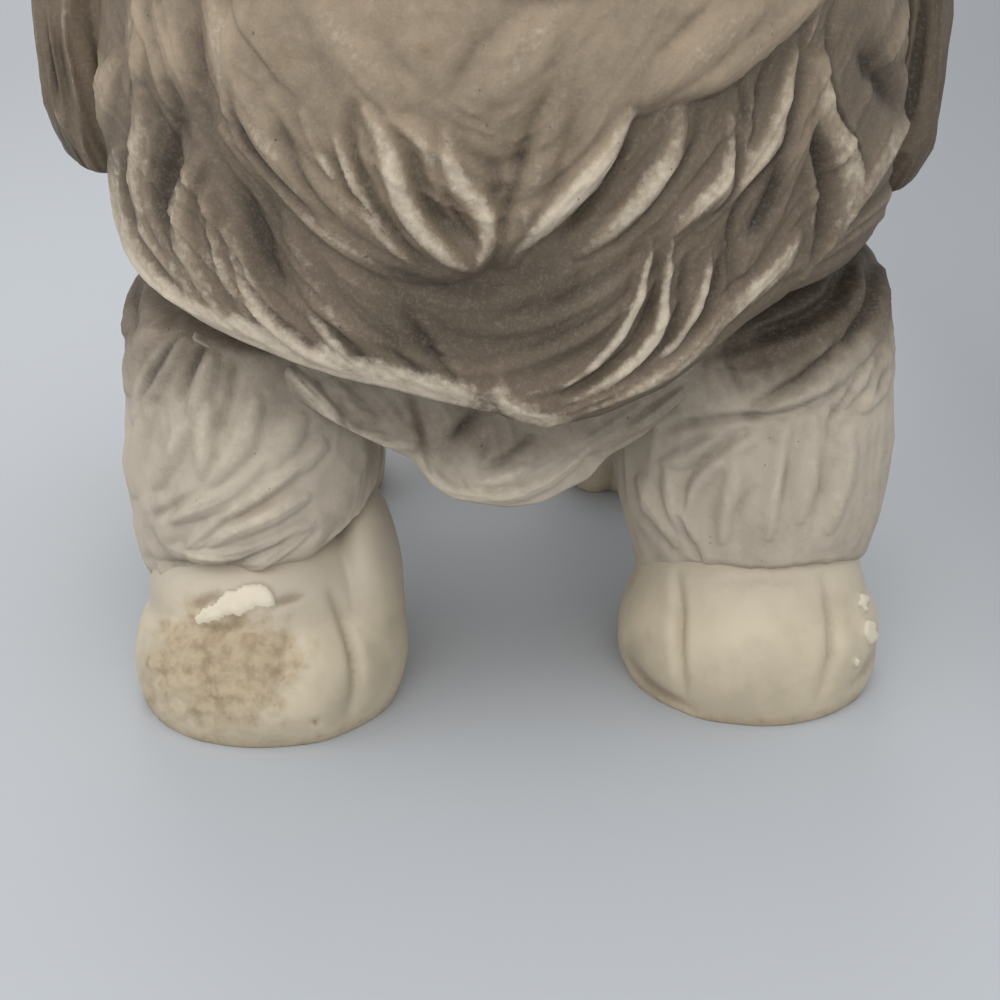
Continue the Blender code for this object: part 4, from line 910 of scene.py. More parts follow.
def build_beard(material):
    """Beard, cheeks and muzzle: a sheet over the front of the head, P(a, v) = head_point(a, z(v)) + h*n.

    Towards its two ends the sheet narrows about the height of the cheeks. Where the photograph sees it, its
    relief is traced, and past that it is noise.
    """
    stations, samples = BEARD_GRID
    widest = math.radians(BEARD_HALF_ANGLE)
    angle = np.linspace(-widest, widest, stations)[:, None]
    aside = np.abs(angle)
    ends = narrowing(angle / widest, 10)
    share = np.linspace(0.0, 1.0, samples)[None, :]
    rim = rim_height(angle)
    low = BEARD_MIDDLE_Z + (rim - BEARD_MIDDLE_Z) * ends
    high = BEARD_MIDDLE_Z + (BEARD_TOP_Z - BEARD_MIDDLE_Z) * ends
    height = high + (low - high) * share
    base = head_point(angle + 0.0 * share, height)
    relief, worn, sunk, spray_and_shade, smudge, py = head_fields(base)
    seen = smooth(-46.0, 4.0, py) * smooth(math.radians(104.0), math.radians(80.0), aside)
    hidden = 1.0 - seen
    hair = strands(angle * 48.0 / 3.2, height / 17.0, CHEEK_SEED)
    relief = relief * seen + hidden * 1.5 * (hair - 0.5)
    worn = worn * seen + hidden * 0.5 * smooth(0.70, 0.95, hair)
    sunk = sunk * seen + hidden * 0.9 * smooth(0.42, 0.15, hair)
    spray_and_shade = spray_and_shade * seen + hidden * (0.55 + 0.20 * aside / widest)
    band = smooth(*RUBBED_RIM, height - rim) * smooth(math.radians(2.0), math.radians(-14.0), angle)
    worn = np.maximum(worn, 0.95 * band * seen)
    border = smooth(0.0, 0.16, share) * smooth(0.0, 0.16, 1.0 - aside / widest)
    lip = smooth(1.0, 0.965, share)
    proud = (relief + BEARD_PROUD) * (0.35 + 0.65 * lip) * border - BEARD_TUCK * (1.0 - border)
    outer = np.stack([np.sin(angle + 0.0 * share), -np.cos(angle + 0.0 * share) * 1.12,
                      -0.25 * (1.0 - share) + 0.0 * angle], -1)
    outer = directions_from(outer, (0.0, 0.0, 0.0))
    points = base + outer * proud[..., None]
    thick = (BEARD_THICK + BEARD_TOP_THICKER * smooth(0.6, 0.0, share)) * (0.1 + 0.9 * ends) + 0.0 * angle
    rows = thicken(points, base, thick)
    return finish_sheet("beard", rows, samples, worn, sunk, spray_and_shade, material, "head", smudge * seen)


def crown_outside(angle, share):
    """Outside of the crown: its points, their hair and their height, from the top to the rim.

    Down to the cheek z follows a quarter circle, top - h*(1 - sqrt(1 - s**2)), and below it is level steps.
    """
    rim = rim_height(angle)
    bend = np.sin(np.minimum(share / CROWN_SHARE, 1.0) * math.pi / 2.0)
    upper = HEAD_TOP_Z - (HEAD_TOP_Z - CHEEK_Z) * (1.0 - np.sqrt(np.clip(1.0 - bend ** 2, 0.0, 1.0)))
    lower = CHEEK_Z + (rim - CHEEK_Z) * (share - CROWN_SHARE) / (1.0 - CROWN_SHARE)
    height = np.where(share <= CROWN_SHARE, upper, lower)
    outer = head_point(angle + 0.0 * share, height)
    turns = angle / (2.0 * math.pi)
    run = (share * 9.0) + 0.0 * angle
    hair = strands(turns * 96.0 + 48.0, run, CROWN_SEED, 96)
    clump = noise(turns * 24.0 + 12.0, run * 0.55 + 0.3, CROWN_SEED + 1, 24)
    front = smooth(math.radians(118.0), math.radians(96.0), np.abs(angle)) * smooth(122.0, 110.0, height)
    relief = (1.9 * (hair - 0.5) + 0.8 * clump) * smooth(0.0, 0.12, share) * (1.0 - front) - 1.6 * front
    relief = relief * (0.3 + 0.7 * smooth(1.0, 0.95, share))
    direction = directions_from(outer, (0.0, HEAD_MIDDLE_Y, HEAD_HEART_Z))
    return outer + direction * (relief + brow_swell(angle, height))[..., None], hair, height


def crown_underside(start, rim):
    """Underside of the head: from its rim up and inward, then up the neck's dome, then closed."""
    inward = start - np.array([0.0, NECK_Y, 0.0])
    azimuth = np.arctan2(inward[..., 0], -inward[..., 1])
    reach = np.hypot(inward[..., 0], inward[..., 1])
    under = np.linspace(0.0, 1.0, CROWN_UNDER_ROWS)[1:, None]
    entry_z = np.minimum(rim + 2.5, NECK_SEAT_Z - 1.0)
    lift = np.clip(under / 0.4, 0.0, 1.0)
    climb = np.clip((under - 0.4) / 0.35, 0.0, 1.0)
    close = np.clip((under - 0.75) / 0.25, 0.0, 1.0)
    level = start[..., 2] + (entry_z - start[..., 2]) * lift ** 0.7 + (NECK_SEAT_Z - entry_z) * climb
    radius = reach + (dome_radius(entry_z) - reach) * lift
    radius = np.where(climb > 0.0, dome_radius(level), radius) * (1.0 - close)
    across, along = radius * np.sin(azimuth), NECK_Y - radius * np.cos(azimuth)
    return np.stack([across, along, level + 0.0 * radius], -1)


def build_crown(material):
    """Crown, back and underside of the head: head_point(a, z) down to the rim, then up the neck dome."""
    outer_rows, sides = CROWN_GRID
    angle = (np.arange(sides) / sides * 2.0 - 1.0)[None, :] * math.pi
    outer, hair, height = crown_outside(angle, np.linspace(0.0, 1.0, outer_rows)[:, None])
    underside = crown_underside(outer[-1:], rim_height(angle))
    rows = with_poles(np.concatenate([outer, underside], 0))
    spread = np.zeros((CROWN_UNDER_ROWS - 1, sides))
    spray_and_shade = 0.36 + 0.25 * smooth(120.0, 80.0, height)
    fields = hair_fields(hair, spray_and_shade, (0.6, 0.66, 0.95), (0.9, 0.46, 0.12))
    # painted shade on the underside of the head: dark and grey all over
    below = {"worn": 0.0, "sunk": 0.8, "spray_and_shade": 0.9, "rough": 0.0}
    fields = {key: np.concatenate([value, spread + below[key]]) for key, value in fields.items()}
    return make_piece("crown", rows, fields, material, "head")


def build_ear(name, material):
    """One hanging ear: level ellipses down a drooping line, with long grooves."""
    side, drop, pull, spray_and_shade, dark = EARS[name]
    plan = np.array(EAR_PLAN)
    plan[3:, 0] -= pull
    plan[4:, 4] -= drop
    count, sides = EAR_GRID
    line = curve(plan, np.linspace(0.0, 1.0, count))[:, None, :]
    angle = round_angles(sides)
    share = np.linspace(0.0, 1.0, count)[:, None]
    ends = np.clip((np.abs(share - 0.5) - 0.42) / 0.08, 0.0, 1.0)
    cap = np.sqrt(np.clip(1.0 - ends ** 2, 0.0, 1.0))
    across = np.sign(np.cos(angle)) * np.abs(np.cos(angle)) ** 0.8
    hair = strands(angle / (2.0 * math.pi) * 24.0, share * 3.2, EAR_SEED + side, 24)
    relief = 2.2 * (hair - 0.5) * smooth(0.0, 0.1, share) * smooth(1.0, 0.94, share)
    rows = np.stack([side * (line[..., 0] + (line[..., 2] + 0.5 * relief) * across * cap),
                     line[..., 1] + (line[..., 3] + relief) * np.sin(angle) * cap,
                     line[..., 4] + 0.0 * angle], -1)
    fields = hair_fields(hair, spray_and_shade)
    fields["sunk"] = fields["sunk"] + dark
    return make_piece(name, rows, fields, material, "head")


def lock_rows(path, out, widths, thicks, grid, seed):
    """A single lock: w*cos(a) across a path and t*sin(a) out of the surface, with fine strands."""
    count, sides = grid
    share = np.linspace(0.0, 1.0, count)
    line, normal = curve(path, share), curve(out, share)
    tangent = np.gradient(line, axis=0)
    tangent /= np.linalg.norm(tangent, axis=1, keepdims=True)
    normal -= np.sum(normal * tangent, 1, keepdims=True) * tangent
    normal /= np.linalg.norm(normal, axis=1, keepdims=True)
    across = np.cross(tangent, normal)
    angle = round_angles(sides)
    width = curve(np.array(widths)[:, None], share)
    thick = curve(np.array(thicks)[:, None], share)
    hair = strands(angle / (2.0 * math.pi) * 16.0, share[:, None] * 2.5, seed, 16)
    ripple = 1.0 + 0.30 * (hair - 0.5)
    rows = (line[:, None, :] + across[:, None, :] * (width * np.cos(angle) * ripple)[..., None]
            + normal[:, None, :] * (thick * np.sin(angle) * ripple)[..., None])
    return with_poles(rows), hair


def lifted(angle, height):
    """How far a fringe lock is carried out: over the brow's swell, and on below it to the lock's tip."""
    return np.maximum(brow_swell(angle, height), 0.75 * brow_swell(angle, np.maximum(height, LIFT_Z)))


def build_fringe(material):
    """Fringe: locks that fall from the crown over the eyes, ellipses carried down the head's front."""
    made = []
    share = np.linspace(0.0, 1.0, 7)
    for number, (turn, top, low, width) in enumerate(FRINGE_FALLS):
        sway = 4.0 * np.sin(share * math.pi * 1.2 + number)
        angle = np.radians(turn * (0.75 + 0.35 * share) + sway)
        height = top + (low - top) * share ** 1.1
        path = head_point(angle, height, FRINGE_PROUD)
        away = path - np.array([0.0, HEAD_MIDDLE_Y, HEAD_HEART_Z])
        path += away * (lifted(angle, height) / FRINGE_LIFT_REACH)[:, None]
        out = path - np.array([0.0, HEAD_MIDDLE_Y, FRINGE_HEART_Z])
        widths = (0.5, 0.75 * width, width, width, 0.85 * width, 0.5 * width, 0.3)
        rows, hair = lock_rows(path, out, widths, FRINGE_THICKS, FRINGE_GRID, FRINGE_SEED + number)
        fields = hair_fields(hair, 0.34, (0.55, 0.68, 0.95), (1.0, 0.46, 0.14))
        made.append(make_piece("fringe_lock_" + str(number + 1), rows, fields, material, "head"))
    return made


def lobed(centre, lobes, grid, blend, floor=None):
    """A rounded form from lobes: along each direction d, the smooth greatest exit from the ellipsoids.

    An exit is the larger root t of |(c + t*d - m)/s| = 1, and the greatest is taken as ln(sum(exp(k*t)))/k.
    """
    count, sides = grid
    tilt = np.linspace(0.0, math.pi, count)[:, None]
    angle = round_angles(sides)
    level = np.sin(tilt)
    direction = np.stack([level * np.cos(angle), level * np.sin(angle), np.cos(tilt) + 0.0 * angle], -1)
    total = 0.0
    for lobe in lobes:
        middle, size = np.array(lobe[:3]), np.array(lobe[3:])
        d, o = direction / size, -middle / size
        a, b, c = np.sum(d * d, -1), np.sum(d * o, -1), np.sum(o * o) - 1.0
        root = b * b - a * c
        exit_at = np.where(root > 0.0, (-b + np.sqrt(np.maximum(root, 0.0))) / a, 0.0)
        total = total + np.exp(blend * exit_at)
    reach = np.log(total) / blend
    rows = np.array(centre) + direction * reach[..., None]
    if floor is not None:
        rows[..., 2] = np.maximum(rows[..., 2], floor)
    return rows, direction


def build_nose(material):
    """Nose: three lobes with two nostrils pressed in by 1.6*exp(-((1 - cos)/0.035)**2)."""
    rows, direction = lobed(NOSE_PLACE, NOSE_LOBES, NOSE_GRID, 1.4)
    for side in (-1.0, 1.0):
        toward = direction @ (np.array(NOSTRIL_TOWARD) * np.array([side, 1.0, 1.0]))
        pit = NOSTRIL_DEPTH * np.exp(-((1.0 - toward) / NOSTRIL_SPREAD) ** 2) * (toward > 0.0)
        rows -= direction * pit[..., None]
    flat = np.zeros(rows.shape[:2])
    fields = {"worn": flat, "sunk": flat, "spray_and_shade": flat, "rough": flat}
    return make_piece("nose", rows, fields, material, "head")


# Shapes of the body

def under_head(points):
    """Greatest height that leaves the turning head free.

    Within the head's reach it is the least height of its rim over its swing, less a gap, or the neck's dome.
    """
    x, y = points[..., 0], points[..., 1] - NECK_Y
    around = np.arctan2(x, -y)
    rims = []
    for turn in np.radians(np.linspace(-HEAD_SWING, HEAD_SWING, 9)):
        across, ahead = HEAD_HALF_DEPTH * np.sin(around + turn), HEAD_HALF_WIDTH * np.cos(around + turn)
        rims.append(rim_height(np.arctan2(across, ahead)))
    rim = np.min(rims, 0)
    table = np.array(NECK_DOME)
    radius = np.hypot(x, y)
    dome = np.interp(radius, table[:, 0], table[:, 1], left=NECK_SEAT_Z)
    room = np.where(radius < NECK_ROOM_RADIUS, np.maximum(dome, rim), rim) - HAIR_GAP
    reach = np.hypot(x / HEAD_REACH[0], (points[..., 1] - HEAD_MIDDLE_Y) / HEAD_REACH[1])
    return room + ROOM_OUTSIDE * smooth(1.0, 1.12, reach)


def keep_under(points):
    """Press points down under the head: z = room - s*ln(1 + exp((room - z)/s)), a soft least of both."""
    room = under_head(points)
    points[..., 2] = room - UNDER_SOFT * np.logaddexp(0.0, (room - points[..., 2]) / UNDER_SOFT)
    return points


def body_fields(points, seen, seed_hair, worn_hair, sunk_hair):
    """Mix traced legs where the camera sees them with hair noise elsewhere."""
    px, py = to_photo(points)
    height, worn, sunk = traced(px, py, LEG_LOCKS, LEG_GROOVES)
    height = LEG_GAIN * height * seen + seed_hair * (1.0 - 0.55 * seen)
    worn = worn * seen + worn_hair * (1.0 - seen)
    sunk = LEG_GAIN * sunk * seen + sunk_hair * (1.0 - 0.5 * seen)
    return height, worn, sunk, px, py


def build_torso(material):
    """Torso: standing rings from chest to rump, hair that runs back and down, and the squeaker's recess.

    A ring is w*sin(a) across and h*|cos(a)|**0.9 up or down.
    """
    count, sides = TORSO_GRID
    share = np.linspace(0.0, 1.0, count)[:, None]
    line = curve(TORSO_PLAN, share[:, 0])[:, None, :]
    angle = round_angles(sides)
    side, upward = np.sin(angle), np.cos(angle)
    height = line[..., 2] + line[..., 3] * np.sign(upward) * np.abs(upward) ** 0.9
    base = np.stack([line[..., 1] * side, line[..., 0] + 0.0 * angle, height], -1)
    slant = share * 10.0 - 4.4 * np.abs(side)
    turns = angle / (2.0 * math.pi)
    hair = strands(turns * 60.0 + 0.0 * share, slant, TORSO_SEED, 60)
    clump = noise(turns * 20.0, slant * 0.7, TORSO_SEED + 3, 20)
    belly = smooth(-0.55, -0.9, upward)
    relief = (1.7 * (hair - 0.5) + 0.7 * clump) * (1.0 - 0.85 * belly)
    rows = base + outward(base) * relief[..., None]
    port = np.hypot(rows[..., 0], rows[..., 1] - PORT_Y)
    recess = PORT_TOP_Z - (PORT_TOP_Z - PORT_LOW_Z) * smooth(PORT_FLAT_RADIUS, PORT_RADIUS, port)
    pressed = np.maximum(recess, np.where(port < PORT_RADIUS, 0.0, rows[..., 2]))
    rows[..., 2] = np.where((upward < 0.0) & (port < PORT_REACH), pressed, rows[..., 2])
    rows = keep_under(rows)
    fields = hair_fields(hair, 0.48 + 0.2 * upward, (0.55, 0.68, 0.95), (1.1, 0.46, 0.12))
    fields["sunk"] = fields["sunk"] * (1.0 - belly)
    return make_piece("torso", rows, fields, material, "body")


def build_bib(material):
    """Bib: a sheet of long hair that hangs from the chest to the traced edge.

    It folds back from its middle by d*|x|**2.4, with x as the share of its half width.
    """
    stations, samples = BIB_GRID
    edge = np.array(BIB_EDGE)
    x = np.linspace(edge[0, 0], edge[-1, 0], stations)
    low = np.interp(x, edge[:, 0], edge[:, 1])
    low = np.convolve(np.pad(low, 3, "edge"), np.ones(7) / 7.0, "valid")[:, None]
    x = x[:, None]
    across = (x - x.mean()) / (x.max() - x.mean())
    ends = narrowing(across, 16)
    fold = BIB_FRONT_Y + np.where(across < 0.0, BIB_FOLDS[0], BIB_FOLDS[1]) * np.abs(across) ** 2.4
    room = under_head(np.stack([x, fold, 0.0 * x], -1)) - BIB_ROOM
    high = np.maximum(low + (np.minimum(BIB_TOP_Z, room) - low) * ends, low + 1.0)
    share = np.linspace(0.0, 1.0, samples)[None, :]
    height = high + (low - high) * share
    front = fold + 2.0 * (1.0 - np.sin(share * math.pi / 2.0)) + share
    base = np.stack([x + 0.0 * share, front, height], -1)
    px, py = to_photo(base)
    relief, worn, sunk = traced(px, py, BIB_LOCKS, BIB_GROOVES)
    hair = strands(x / 2.6 + 0.25 * height, height / 9.0, BIB_SEED)
    relief = relief + 0.6 * (hair - 0.5)
    lip = smooth(1.0, 0.95, share)
    points = base.copy()
    points[..., 1] -= relief * (0.4 + 0.6 * lip)
    # painted shade under the beard: the bib is greyer towards its top, and less grey towards its lower edge
    # and its ends
    spray_and_shade = np.clip(0.56 - 0.50 * smooth(430.0, 496.0, py) - 0.16 * np.abs(across), 0.04, 0.9)
    rows = thicken(points, base, BIB_THICK * (0.15 + 0.85 * ends) + 0.0 * share)
    return finish_sheet("bib", rows, samples, worn, sunk, spray_and_shade, material, "body")


def build_leg(name, plan, hem, mirror, material, seed, traced_front):
    """One leg: level ellipses from the shoulder to the ankle, whose hair closes over the paw.

    Below HEM_START_Z their heights are stretched about it, so that the hair ends at the hem.
    """
    plan = np.array(plan)
    plan[:, 0] *= mirror
    count, sides = LEG_GRID
    share = np.linspace(0.0, 1.0, count)[:, None]
    line = curve(plan, share[:, 0])[:, None, :]
    angle = round_angles(sides)
    turns = angle / (2.0 * math.pi)
    side, ahead = np.sin(angle), np.cos(angle)
    ends_at = np.where(ahead > 0.0, hem[0], hem[2]) * ahead ** 2
    ends_at = ends_at + np.where(side > 0.0, hem[1], hem[3]) * side ** 2
    ends_at = ends_at + HEM_LOCKS * noise(turns * 26.0, 0.5, seed + 3, 26)
    stretch = (HEM_START_Z - ends_at) / (HEM_START_Z - HEM_PLAN_Z)
    level = line[..., 4] + np.minimum(line[..., 4] - HEM_START_Z, 0.0) * (stretch - 1.0)
    base = np.stack([line[..., 0] + line[..., 2] * side, line[..., 1] - line[..., 3] * ahead, level], -1)
    slant = share * 6.0 + 1.2 * np.sin(angle - mirror * 0.8)
    hair = strands(turns * 28.0 + 0.0 * share, slant, seed, 28)
    normal = outward(base)
    forward = photo_axes()[2]
    facing = smooth(0.0, 0.35, -(normal @ forward)) if traced_front else 0.0 * hair
    plain = (1.5 * (hair - 0.5), 0.5 * smooth(0.70, 0.95, hair), 0.9 * smooth(0.44, 0.12, hair))
    relief, worn, sunk, px, py = body_fields(base, facing, *plain)
    ends = smooth(0.0, 0.12, share) * smooth(1.0, 0.9, share)
    rows = keep_under(base + normal * (relief * ends)[..., None])
    # greyer towards the top: partly sprayed grey, partly painted shade under the head
    top = smooth(36.0, 58.0, rows[..., 2])
    # painted shadow under the head's rim, high on the outer side of the dog's left front leg: darker,
    # greyer, not worn
    hollow = facing * smooth(690.0, 760.0, px) * smooth(400.0, 310.0, py + 0.5 * (px - 800.0))
    fields = {
        "worn": worn * (1.0 - hollow),
        "sunk": sunk + 0.7 * hollow,
        "spray_and_shade": 0.04 + 0.66 * top + 0.3 * hollow,
        "rough": 0.0 * worn,
    }
    return make_piece(name, rows, fields, material, "body")


def marked(px, py, marks, seen, start):
    """Lines traced on a paw: k*sin(pi*(start + 0.8*share))*exp(-(d/reach)**2), and the strongest counts."""
    deep = 0.0 * px
    for reach, strength, line in marks:
        near, distance, _, share = nearness(px, py, line, 3.0 * reach)
        mark = strength * tapered(share, start, 0.8) * np.exp(-(distance / reach) ** 2)
        deep[near] = np.maximum(deep[near], seen[near] * mark)
    return deep


def chipped(px, py, seen, edge):
    """Where the paws' colour is chipped off, 0...1: tilted ellipses and small flakes with a ragged edge."""
    chip = 0.0 * px
    for x, y, wide, high, slope in PAW_CHIPS:
        away = np.hypot((px - x) / wide, (py - y - slope * (px - x)) / high)
        chip = np.maximum(chip, seen * smooth(1.12, 0.84, away + edge))
    for x, y, size in PAW_FLAKES:
        away = np.hypot((px - x) / (0.6 * size), (py - y) / size)
        chip = np.maximum(chip, seen * smooth(1.2, 0.7, away + 3.0 * edge))
    return chip


def build_paw(name, place, lobes, mirror, material, traced_front):
    """One paw: smooth lobes for the toes, cut flat by the floor."""
    flip = np.array([mirror, 1.0, 1.0, 1.0, 1.0, 1.0])
    centre = np.array(place) * flip[:3]
    rows, direction = lobed(centre, [np.array(lobe) * flip for lobe in lobes], PAW_GRID, 1.7, 0.0)
    lumps = noise(rows[..., 0] / 5.0, rows[..., 1] / 5.0 + rows[..., 2] / 6.0, PAW_SEED)
    rows[..., :2] += direction[..., :2] * (0.25 * lumps)[..., None]
    px, py = to_photo(rows)
    seen = smooth(0.0, 0.3, -direction[..., 1] + 0.6 * direction[..., 2])
    stain, chip, dark = 0.0 * px, 0.0 * px, 0.0 * px
    if traced_front:
        pits = noise(px / 9.0, py / 9.0, PAW_SEED + 1) + 0.6 * noise(px / 4.0, py / 4.0, PAW_SEED + 2)
        edge = 0.16 * noise(px / 15.0, py / 15.0, PAW_SEED + 3)
        edge = edge + 0.10 * noise(px / 6.0, py / 6.0, PAW_SEED + 4)
        x, y, wide, high = PAW_STAIN
        stain = seen * smooth(1.25, 0.55, np.hypot((px - x) / wide, (py - y) / high) + edge)
        edge = edge + 0.14 * noise(px / 5.0, py / 5.0, PAW_SEED + 5)
        chip = chipped(px, py, seen, edge)
        # one dark field: partly painted shadow beside the chips, in creases and in the toe grooves, partly
        # grime
        dark = marked(px, py, PAW_SHADOW_AND_GRIME_LINES, seen, 0.1)
        groove = marked(px, py, PAW_GROOVES, seen, 0.12)
        dark = np.maximum(dark, 0.55 * groove) * (1.0 - chip)
        rows += direction * (0.28 * stain * pits - 0.5 * dark - groove + 0.6 * chip)[..., None]
    rows[..., 2] = np.maximum(rows[..., 2], 0.0)
    rim = smooth(3.0, 0.4, rows[..., 2])
    fields = {
        "worn": 0.9 * chip,
        "sunk": dark,
        "spray_and_shade": 0.0 * px,
        "rough": np.clip(stain + 0.65 * rim, 0.0, 1.0),
    }
    return make_piece(name, rows, fields, material, "body")


def build_tail(material):
    """Tail: ellipses along a curve that rises behind the rump, with long strands."""
    rows, hair = lock_rows(TAIL_PATH, TAIL_OUT, TAIL_WIDTHS, TAIL_THICKS, TAIL_GRID, TAIL_SEED)
    fields = hair_fields(hair, 0.35, (0.6, 0.66, 0.95), (1.2, 0.48, 0.12))
    return make_piece("tail", rows, fields, material, "body")


# Materials

class Wire:
    """A shader socket that works with + - and * in plain Python."""

    def __init__(self, graph, socket):
        self.graph, self.socket = graph, socket

    def maths(self, operation, first, second):
        node = self.graph.node("ShaderNodeMath", {"operation": operation}, {0: first, 1: second})
        return Wire(self.graph, node.outputs[0])

    def __add__(self, other):
        return self.maths("ADD", self, other)

    def __radd__(self, other):
        return self.maths("ADD", other, self)

    def __sub__(self, other):
        return self.maths("SUBTRACT", self, other)

    def __rsub__(self, other):
        return self.maths("SUBTRACT", other, self)

    def __mul__(self, other):
        return self.maths("MULTIPLY", self, other)

    def __rmul__(self, other):
        return self.maths("MULTIPLY", other, self)

    def step(self, low, high):
        """A soft step from 0 at low to 1 at high."""
        node = self.graph.node("ShaderNodeMapRange", {"interpolation_type": "SMOOTHSTEP"},
                               {"Value": self, "From Min": low, "From Max": high})
        return Wire(self.graph, node.outputs["Result"])


class Graph:
    """The node tree of one new material."""

    def __init__(self, name):
        self.material = bpy.data.materials.new(name)
        self.material.use_nodes = True
        self.tree = self.material.node_tree
        self.shader = self.tree.nodes["Principled BSDF"]
        self.place = Wire(self, self.node("ShaderNodeTexCoord").outputs["Object"])

    def node(self, kind, settings=None, inputs=None):
        made = self.tree.nodes.new(kind)
        for key, value in (settings or {}).items():
            setattr(made, key, value)
        for key, value in (inputs or {}).items():
            self.feed(made.inputs[key], value)
        return made

    def feed(self, socket, value):
        """Link a wire to a socket, or set the socket's own number or colour."""
        if isinstance(value, Wire):
            self.tree.links.new(value.socket, socket)
        elif isinstance(value, (int, float)):
            socket.default_value = value
        else:
            socket.default_value = (*value, 1.0)

    def noise(self, scale, detail=3.0, roughness=0.55):
        inputs = {"Vector": self.place, "Scale": scale, "Detail": detail, "Roughness": roughness}
        return Wire(self, self.node("ShaderNodeTexNoise", None, inputs).outputs["Fac"])

    def field(self, name):
        return Wire(self, self.node("ShaderNodeAttribute", {"attribute_name": name}).outputs["Fac"])

    def mix(self, share, first, second):
        made = self.node("ShaderNodeMix", {"data_type": "RGBA"}, {0: share, 6: first, 7: second})
        return Wire(self, made.outputs[2])

    def bump(self, height, strength, distance):
        inputs = {"Height": height, "Strength": strength, "Distance": distance}
        return Wire(self, self.node("ShaderNodeBump", None, inputs).outputs["Normal"])

    def set(self, **values):
        for key, value in values.items():
            self.feed(self.shader.inputs[key.replace("_", " ")], value)
        return self.material


def scaled(colour, share):
    """A colour times a share."""
    return tuple(share * c for c in colour)


def rubber(name, base, looks):
    """Aged rubber: a base colour, grey sprayed into the hair, pale worn ridges, stains and fine grain.

    The grey and the dark DEEP colour also hold painted shade in grooves, hollows and under the head.
    """
    graph = Graph(name)
    broad, patch = graph.noise(90.0), graph.noise(420.0, 4.0)
    grain, speck = graph.noise(2600.0, 2.0), graph.noise(900.0, 5.0, 0.7)
    worn, sunk, spray_and_shade, rough = (graph.field(key) for key in ("worn", "sunk", "spray_and_shade", "rough"))
    colour = graph.mix((broad + 0.5 * patch - 0.25).step(0.35, 0.75), base, scaled(base, 0.84))
    # sprayed grey coat, which also holds painted shade under overhangs and a painted highlight on high
    # relief
    spray_coat_and_shade = (spray_and_shade * 1.1 + (patch - 0.5) * 0.40 + (broad - 0.5) * 0.3 - worn * 0.25).step(0.0, 1.0)
    colour = graph.mix(spray_coat_and_shade, colour, GREY)
    # painted shade: darker in grooves and hollows, under the head and inside the sheets, where sunk is high
    deep = (sunk * 1.10 + (patch - 0.5) * 0.2) * (0.35 + 0.65 * spray_and_shade)
    colour = graph.mix(deep.step(0.05, 1.2), colour, DEEP)
    rubbed = (worn * looks.wear * 1.10 + (patch - 0.5) + (speck - 0.5) * 0.9 - sunk * 0.5).step(0.34, 1.0)
    colour = graph.mix(rubbed * 0.70, colour, PALE)
    bare = worn * looks.wear + (speck - 0.5) * 1.7 + (patch - 0.5) * 1.1 - sunk * 0.6
    bare = bare.step(0.78, 1.02)
    colour = graph.mix(bare * 0.42, colour, PALE)
    dirt = (rough + (speck - 0.5) * 0.9).step(0.20, 0.85) * looks.dirt
    colour = graph.mix(dirt * 0.62, colour, BROWN)
    colour = graph.mix((grain + (speck - 0.5)).step(0.40, 0.85) * 0.10, colour, PALE)
    dots = graph.noise(1500.0, 1.0, 0.4).step(0.735, 0.80) * patch.step(0.45, 0.62)
    colour = graph.mix(dots * 0.7, colour, DEEP)
    relief = grain * 0.35 + speck * 0.65 + rough * speck * 1.5
    return graph.set(Base_Color=colour, Roughness=0.56 + 0.18 * speck - 0.08 * bare, Specular_IOR_Level=0.35,
                     Normal=graph.bump(relief, 0.55, looks.grain))


def paw_rubber(looks):
    """Smooth yellowed rubber of the paws, rough and brown where it is stained.

    Its dark lines are partly painted shadow beside the chips and in the toe grooves, and partly grime.
    """
    graph = Graph("paw_rubber_and_shade")
    broad, patch, speck = graph.noise(110.0), graph.noise(500.0, 4.0), graph.noise(1400.0, 4.0, 0.7)
    worn, rough, shade_and_crack = graph.field("worn"), graph.field("rough"), graph.field("sunk")
    height = Wire(graph, graph.node("ShaderNodeSeparateXYZ", None, {0: graph.place}).outputs[2])
    colour = graph.mix(broad.step(0.35, 0.7), PAW_CREAM, scaled(PAW_CREAM, 0.80))
    colour = graph.mix(height.step(0.013, 0.023) * 0.75, colour, WARM)
    stain = (rough + (patch - 0.5) * 1.2 + (speck - 0.5) * 0.5).step(0.10, 1.10) * looks.dirt
    colour = graph.mix(stain * 0.80, colour, STAIN)
    dirt = (rough * 0.9 + (patch - 0.5) * 2.4 + (speck - 0.5)).step(0.65, 1.45) * looks.dirt
    colour = graph.mix(dirt * 0.45, colour, BROWN)
    # brown lines: partly painted shadow beside the chips and in the toe grooves, partly grime
    colour = graph.mix((shade_and_crack + (speck - 0.5) * 0.5).step(0.20, 1.0) * 0.70, colour, BROWN)
    colour = graph.mix((worn + (speck - 0.5) * 0.6).step(0.35, 0.6), colour, PAW_CHIP)
    relief = speck * 0.4 + rough * patch * 2.2
    return graph.set(Base_Color=colour, Roughness=0.46 + 0.30 * rough, Specular_IOR_Level=0.4,
                     Normal=graph.bump(relief, 0.5, looks.grain))


def nose_rubber(looks):
    """Dark sprayed rubber of the nose."""
    graph = Graph("nose_finish")
    speck = graph.noise(1100.0, 4.0, 0.7)
    colour = graph.mix(speck.step(0.55, 0.75), NOSE_DARK, NOSE_WORN)
    return graph.set(Base_Color=colour, Roughness=0.38 + 0.2 * speck,
                     Normal=graph.bump(speck, 0.4, looks.grain))


